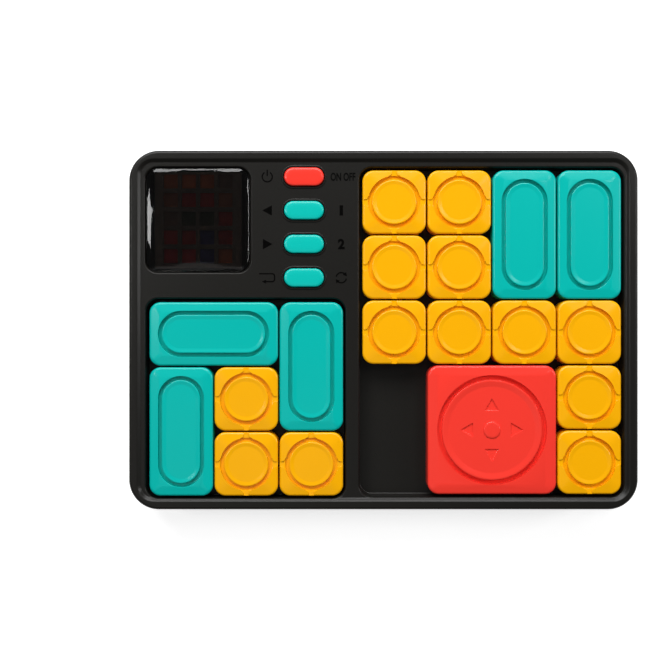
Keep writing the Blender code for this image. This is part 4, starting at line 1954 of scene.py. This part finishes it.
    def windows(self) -> None:
        """Models the lit windows, one piece for each colour."""
        colours = {
            "o": LitWindowOrPaintedGlow("orange_window", (0.80, 0.20, 0.06), 0.085),
            "r": LitWindowOrPaintedGlow("red_window", (0.80, 0.05, 0.04), 0.050),
            "s": LitWindowOrPaintedGlow("bright_red_window", (0.85, 0.04, 0.05), 0.070),
            "n": LitWindowOrPaintedGlow("brown_window", (0.60, 0.19, 0.09), 0.050),
            "b": LitWindowOrPaintedGlow("blue_window", (0.12, 0.10, 0.42), 0.030),
            "g": LitWindowOrPaintedGlow("green_window", (0.10, 0.12, 0.06), 0.030),
            ".": LitWindowOrPaintedGlow("dark_window", (0.36, 0.20, 0.15), 0.030),
        }
        half = self.window / 2 - self.window_gap
        bottom, top = self.window_heights
        for letter, finish in colours.items():
            plates = []
            for row, line in enumerate(self.layout):
                for column, found in enumerate(line):
                    if found != letter:
                        continue
                    cx, cy = self.place(column, row)
                    low = (cx - half, cy - half, bottom)
                    plate = box("plate", low, (cx + half, cy + half, top))
                    shape_top(plate, top, self.window_steps)
                    plates.append(plate)
            piece = merged(plates)
            piece.name = piece.data.name = finish.name
            polish(piece)
            dressed(piece, finish.material(), Body.CASE.value)

    def build(self) -> None:
        """Builds the display."""
        self.lens()
        self.grid()
        self.windows()


@dataclass
class Keypad:
    """Four press buttons and the printing beside them.

    Attributes:
        names: What the buttons do, from the back one to the front one.
        radius: The radius of a button's ends.
        top: The height of its top.
        flange: How far its flange reaches out.
        flange_heights: The bottom and top of the flange.
        dome: How its top is rounded.
        print_heights: The bottom and top of the ink.
        left_x: The middle of the signs on the left.
        right_x: The middle of the signs on the right.
        stroke: How wide a printed line is.
        sliver: Half the thickness of the box that an arc is spun from.
        arc_step: How many degrees a face of an arc spans.
        arc_least: How many faces it has at least.
        letter_height: How high a capital is, as a share of the letters' size.
    """

    names: tuple[str, ...] = ("power", "back", "next", "replay")
    radius: float = 0.00325
    top: float = 0.0234
    flange: float = 0.0013
    flange_heights: Pair = (0.0181, 0.0188)
    dome: Steps = (
        (0.00004, 0.00020), (0.00012, 0.00018), (0.00028, 0.00014), (0.00055, 0.00008),
        (0.00080, 0.00004), (0.00080, 0.00001),
    )  # fmt: skip
    print_heights: Pair = (PANEL_TOP - 0.00005, PANEL_TOP + 0.00003)
    left_x: float = -0.0411
    right_x: float = -0.0149
    stroke: float = 0.00045
    sliver: float = 1e-6
    arc_step: int = 7
    arc_least: int = 6
    letter_height: float = 0.73

    def buttons(self) -> None:
        """Builds the buttons, each with the flange that holds it in."""
        ledge = self.flange_heights[1]
        rise = sum(step[1] for step in self.dome)
        reach = self.radius + self.flange
        pattern = drum("button", (0, 0), reach, self.flange_heights, BUTTON_RUN)
        steps = [(self.flange, 0.0), (0.0, self.top - rise - ledge), *self.dome]
        shape_top(pattern, ledge, steps)
        polish(pattern, 40.0)
        red = ButtonPlastic("red_button_plastic", (0.945, 0.042, 0.026))
        teal = ButtonPlastic("teal_button_plastic", (0.0003, 0.520, 0.452))
        materials = {"red_tile": red.material(), "teal_tile": teal.material()}
        for name, row in zip(self.names, BUTTON_ROWS):
            slot = "red_tile" if name == "power" else "teal_tile"
            node = f"{name}_button"
            cap = copied(pattern, f"{name}_key", (BUTTON_X, row, 0))
            dressed(cap, materials[slot], node, [node])
        discard(pattern)

    def bar(self, centre: Pair, size: Pair) -> bpy.types.Object:
        """Models a straight printed stroke.

        Args:
            centre: Its middle.
            size: Its width and depth.

        Returns:
            The stroke.
        """
        (x, y), (width, depth) = centre, size
        bottom, top = self.print_heights
        low = (x - width / 2, y - depth / 2, bottom)
        return box("stroke", low, (x + width / 2, y + depth / 2, top))

    def arc(
        self, centre: Pair, radius: float, stroke: float, start: float, sweep: float
    ) -> bpy.types.Object:
        """Models a printed arc.

        Args:
            centre: The middle of its circle.
            radius: The radius of its middle line.
            stroke: How wide it is.
            start: Where it starts, in degrees from +X.
            sweep: How far it runs, in degrees.

        Returns:
            The arc.
        """
        x, y = centre
        bottom, top = self.print_heights
        near = radius - stroke / 2
        shape = box("arc", (near, -self.sliver, bottom), (near + stroke, self.sliver, top))
        with editing(shape):
            pick(Kind.FACE, lambda face: face.normal.y < FACING)
            bpy.ops.mesh.delete(type="ONLY_FACE")
            pick(Kind.FACE, lambda face: True)
            steps = max(self.arc_least, int(sweep / self.arc_step))
            turn = math.radians(sweep)
            bpy.ops.mesh.spin(steps=steps, angle=turn, center=(0, 0, 0), axis=(0, 0, -1))
            bpy.ops.mesh.select_all(action="SELECT")
            bpy.ops.mesh.remove_doubles(threshold=WELD)
            bpy.ops.mesh.delete_loose()
            bpy.ops.mesh.select_mode(type="EDGE")
            bpy.ops.mesh.select_non_manifold()
            bpy.ops.mesh.fill_holes(sides=0)
            bpy.ops.mesh.select_all(action="SELECT")
            bpy.ops.mesh.normals_make_consistent(inside=False)
        shape.rotation_euler = (0, 0, math.radians(start))
        shape.location = (x, y, 0)
        return settle(shape, "arc")

    def arrow(
        self, centre: Pair, radius: float, turn: float, squeeze: float = 1.0
    ) -> bpy.types.Object:
        """Models a printed triangle that points a way, in degrees from +X.

        Args:
            centre: Its middle.
            radius: The radius of the circle round it.
            turn: Where it points.
            squeeze: How much it is drawn out.

        Returns:
            The triangle.
        """
        bottom, top = self.print_heights
        bpy.ops.object.select_all(action="DESELECT")
        bpy.ops.mesh.primitive_cylinder_add(
            vertices=3, radius=radius, depth=top - bottom, rotation=(0, 0, -math.pi / 2)
        )
        shape = settle(bpy.context.active_object, "arrow")
        shape.scale = (squeeze, 1, 1)
        shape.rotation_euler = (0, 0, math.radians(turn))
        shape.location = (*centre, (bottom + top) / 2)
        return settle(shape, "arrow")

    def words(self, text: str, centre: Pair, size: Pair, weight: float) -> bpy.types.Object:
        """Models printed letters or figures.

        Args:
            text: What they say.
            centre: Their middle.
            size: How wide and how high they are printed.
            weight: How much their strokes are thickened.

        Returns:
            The letters as one mesh.
        """
        bpy.ops.object.select_all(action="DESELECT")
        bpy.ops.object.text_add(location=(0, 0, 0))
        shape = bpy.context.active_object
        shape.data.body = text
        shape.data.size = size[1] / self.letter_height
        shape.data.offset = weight
        shape.data.extrude = (self.print_heights[1] - self.print_heights[0]) / 2
        shape.data.resolution_u = 6
        lone(shape)
        bpy.ops.object.convert(target="MESH")
        shape = settle(bpy.context.active_object, "words")
        low = [min(vertex.co[axis] for vertex in shape.data.vertices) for axis in (0, 1)]
        high = [max(vertex.co[axis] for vertex in shape.data.vertices) for axis in (0, 1)]
        scale = [size[axis] / (high[axis] - low[axis]) for axis in (0, 1)]
        shape.scale = (*scale, 1)
        shape.location = (
            *[centre[axis] - scale[axis] * (low[axis] + high[axis]) / 2 for axis in (0, 1)],
            sum(self.print_heights) / 2,
        )
        settle(shape, "words")
        with editing(shape):
            bpy.ops.mesh.select_all(action="SELECT")
            bpy.ops.mesh.remove_doubles(threshold=WELD)
        return shape

    def legend(
        self, name: str, parts: Sequence[bpy.types.Object], ink: bpy.types.Material
    ) -> None:
        """Makes one printed legend of its strokes.

        Args:
            name: The piece's name.
            parts: Its strokes.
            ink: The finish of the print.
        """
        piece = merged(list(parts))
        piece.name = piece.data.name = name
        dressed(piece, ink, Body.CASE.value)

    def printing(self) -> None:
        """Builds the legends."""
        ink = Print().material()
        self.left_legends(ink)
        self.right_legends(ink)

    def left_legends(self, ink: bpy.types.Material) -> None:
        """Prints the signs on the buttons' left: power, back, next and replay.

        Args:
            ink: The finish of the print.
        """
        power, back, forth, replay = BUTTON_ROWS
        x, stroke = self.left_x, self.stroke
        ring = self.arc((x, power), 0.00178, stroke, 122, 296)
        bar = self.bar((x, power + 0.0014), (stroke, 0.0022))
        self.legend("power_legend", [ring, bar], ink)
        self.legend("back_legend", [self.arrow((x + 0.0005, back), 0.0021, 180, 1.07)], ink)
        self.legend("next_legend", [self.arrow((x - 0.0004, forth), 0.0021, 0, 1.07)], ink)
        top, bend = 0.00140, 0.0009
        turn_back = [
            self.bar((x - 0.0006, replay + top), (0.0046, stroke)),
            self.arc((x + 0.0017, replay + top - bend), bend, stroke, 0, 90),
            self.bar((x + 0.0017 + bend, replay), (stroke, 2 * (top - bend))),
            self.arc((x + 0.0017, replay - top + bend), bend, stroke, 270, 90),
            self.bar((x + 0.0005, replay - top), (0.0024, stroke)),
            self.arrow((x - 0.0009, replay - top), 0.0008, 180, 1.3),
        ]
        self.legend("replay_legend", turn_back, ink)

    def right_legends(self, ink: bpy.types.Material) -> None:
        """Prints what stands on the buttons' right: the switch's words, figures and a ring.

        Args:
            ink: The finish of the print.
        """
        power, back, forth, replay = BUTTON_ROWS
        x, stroke = self.right_x, self.stroke
        switch = self.words("ON OFF", (x + 0.0006, power), (0.0088, 0.0029), 0.00010)
        self.legend("switch_legend", [switch], ink)
        first = self.words("1", (x, back), (0.0012, 0.0036), 0.00004)
        self.legend("first_legend", [first], ink)
        second = self.words("2", (x, forth), (0.0024, 0.0037), 0.00022)
        self.legend("second_legend", [second], ink)
        circle = [
            self.arc((x, replay), 0.0018, stroke, 55, 115),
            self.arc((x, replay), 0.0018, stroke, 235, 115),
            self.arrow((x + 0.0014, replay + 0.0012), 0.0009, -50),
            self.arrow((x - 0.0014, replay - 0.0012), 0.0009, 130),
        ]
        self.legend("shuffle_legend", circle, ink)

    def build(self) -> None:
        """Builds the buttons and the legends."""
        self.buttons()
        self.printing()


@dataclass
class Works:
    """The CAD nodes that keep their shapes and get better finishes."""

    nodes: dict[str, bpy.types.Object] = field(default_factory=lambda: frame["nodes"])

    def finishes(self) -> list[tuple[bpy.types.Material, tuple[str, ...]]]:
        """Pairs each finish with the first letters of the nodes that wear it.

        Returns:
            The finishes, each with its nodes.
        """
        rubber = MouldedPlastic("grey_rubber", (0.25, 0.25, 0.26), 0.70, depth=0.00003)
        spring = PlatedMetal("plated_spring", (0.70, 0.69, 0.66))
        magnet = PlatedMetal("magnet_plating", (0.66, 0.65, 0.62), 0.22)
        return [
            (CircuitBoard().material(), ("main_board", "sensor_board")),
            (rubber.material(), ("keypad_membrane",)),
            (spring.material(), ("contact_",)),
            (magnet.material(), ("square_magnet", "bar_magnet", "block_magnet")),
        ]

    def build(self) -> None:
        """Dresses every node that still shows."""
        for material, starts in self.finishes():
            for name, node in self.nodes.items():
                if name.startswith(starts) and not node.hide_render:
                    node.data.materials.clear()
                    node.data.materials.append(material)
                    log.info("%s keeps its shape", name)


# ---------------------------------------------------------------- the studio


@dataclass(frozen=True)
class Lamp:
    """A soft rectangular lamp.

    Attributes:
        name: Its name.
        place: Where it hangs.
        size: Its width and depth.
        power: Its power, in watts.
        aim: The place on the case's X axis that it looks at.
        aim_height: How high above that axis it looks.
    """

    name: str
    place: Triple
    size: Pair
    power: float
    aim: float = 0.0
    aim_height: float = 0.01

    def hang(self) -> None:
        """Adds the lamp to the scene."""
        bpy.ops.object.select_all(action="DESELECT")
        bpy.ops.object.light_add(type="AREA", location=self.place)
        lamp = bpy.context.active_object
        lamp.name = lamp.data.name = self.name
        lamp.data.shape = "RECTANGLE"
        lamp.data.size, lamp.data.size_y = self.size
        lamp.data.energy = self.power
        line = Vector((self.aim, 0, self.aim_height)) - Vector(self.place)
        lamp.rotation_euler = line.to_track_quat("-Z", "Y").to_euler()


@dataclass
class Studio:
    """Floor, soft lamps, dim surroundings and the camera.

    Attributes:
        camera_place: Where the camera is.
        lens: The length of its lens, in millimetres.
        surroundings: How bright the dim surroundings are.
        floor_height: How far the floor lies below the feet.
        floor_glow: How bright the floor shows near the case.
        floor_fade: The distances between which it turns white.
        lamps: The lamps.
    """

    camera_place: Triple = (-0.0189, 0.0, 0.4230)
    lens: float = 61.8
    surroundings: float = 0.07
    floor_height: float = -0.0002
    floor_glow: float = 0.75
    floor_fade: Pair = (0.25, 0.80)
    lamps: tuple[Lamp, ...] = (
        Lamp("key", (-0.08, 0.60, 0.60), (0.90, 0.46), 8.9),
        Lamp("left_strip", (-0.492, 0.125, 0.822), (0.14, 0.25), 1.08),
        Lamp("right_strip", (0.615, 0.117, 0.467), (0.15, 0.26), 0.95),
        Lamp("veil", (-0.17, -0.23, 0.85), (0.46, 0.34), 0.15, aim=-0.17),
        Lamp("spark", (0.40, 0.29, 0.86), (0.16, 0.16), 0.5),
    )

    def floor(self) -> None:
        """Lays a pale floor that shows white and still takes the shadow."""
        bpy.ops.object.select_all(action="DESELECT")
        bpy.ops.mesh.primitive_plane_add(size=6.0, location=(0, 0, self.floor_height))
        plane = settle(bpy.context.active_object, "floor")
        recipe = Recipe("pale_floor")
        grain = recipe.noise(300.0, 3.0)
        shade = recipe.mixed(grain, (0.78, 0.78, 0.78, 1.0), (0.82, 0.82, 0.82, 1.0))
        matt = recipe.add("BsdfDiffuse", {"Color": shade}).outputs[0]
        path = recipe.add("LightPath").outputs
        seen = recipe.combined("MAXIMUM", path["Is Camera Ray"], path["Is Glossy Ray"])
        seen = recipe.combined("MAXIMUM", seen, path["Is Transmission Ray"])
        away = recipe.add("VectorMath", {0: recipe.place()}, operation="LENGTH").outputs["Value"]
        level = recipe.ranged(away, self.floor_fade, (self.floor_glow, 1.0))
        strength = recipe.combined("MULTIPLY", seen, level)
        glow = recipe.add("Emission", {"Color": (1, 1, 1, 1), "Strength": strength}).outputs[0]
        both = recipe.add("AddShader", {0: matt, 1: glow}).outputs[0]
        plane.data.materials.append(recipe.shown(both))

    def world(self) -> None:
        """Sets the dim surroundings, with white where the camera sees past the floor."""
        world = bpy.data.worlds.new("studio")
        bpy.context.scene.world = world
        world.use_nodes = True
        nodes, links = world.node_tree.nodes, world.node_tree.links
        nodes.clear()
        path = nodes.new("ShaderNodeLightPath")
        level = nodes.new("ShaderNodeMapRange")
        level.inputs["To Min"].default_value = self.surroundings
        level.inputs["To Max"].default_value = 1.0
        back = nodes.new("ShaderNodeBackground")
        back.inputs["Color"].default_value = (1, 1, 1, 1)
        out = nodes.new("ShaderNodeOutputWorld")
        links.new(path.outputs["Is Camera Ray"], level.inputs["Value"])
        links.new(level.outputs[0], back.inputs["Strength"])
        links.new(back.outputs[0], out.inputs["Surface"])

    def camera(self) -> None:
        """Places the camera straight above the case."""
        data = bpy.data.cameras.new("camera")
        data.lens = self.lens
        data.sensor_width = 36.0
        data.clip_start = 0.01
        camera = bpy.data.objects.new("camera", data)
        camera.location = self.camera_place
        bpy.context.scene.collection.objects.link(camera)
        bpy.context.scene.camera = camera

    def build(self) -> None:
        """Builds the studio."""
        bpy.context.scene.view_settings.view_transform = "Standard"
        self.floor()
        self.world()
        for lamp in self.lamps:
            lamp.hang()
        self.camera()


def main() -> None:
    """Builds every sub-assembly in order."""
    logging.basicConfig(level=logging.INFO, format="%(message)s")
    assemblies = (
        Studio(), CaseTop(), CaseRear(), BatteryDoor(), Screws(), PowerCells(), Speaker(),
        Display(), Keypad(), Tiles(), Works(),
    )  # fmt: skip
    for assembly in assemblies:
        assembly.build()
    bpy.context.view_layer.update()


if __name__ == "__main__":
    main()
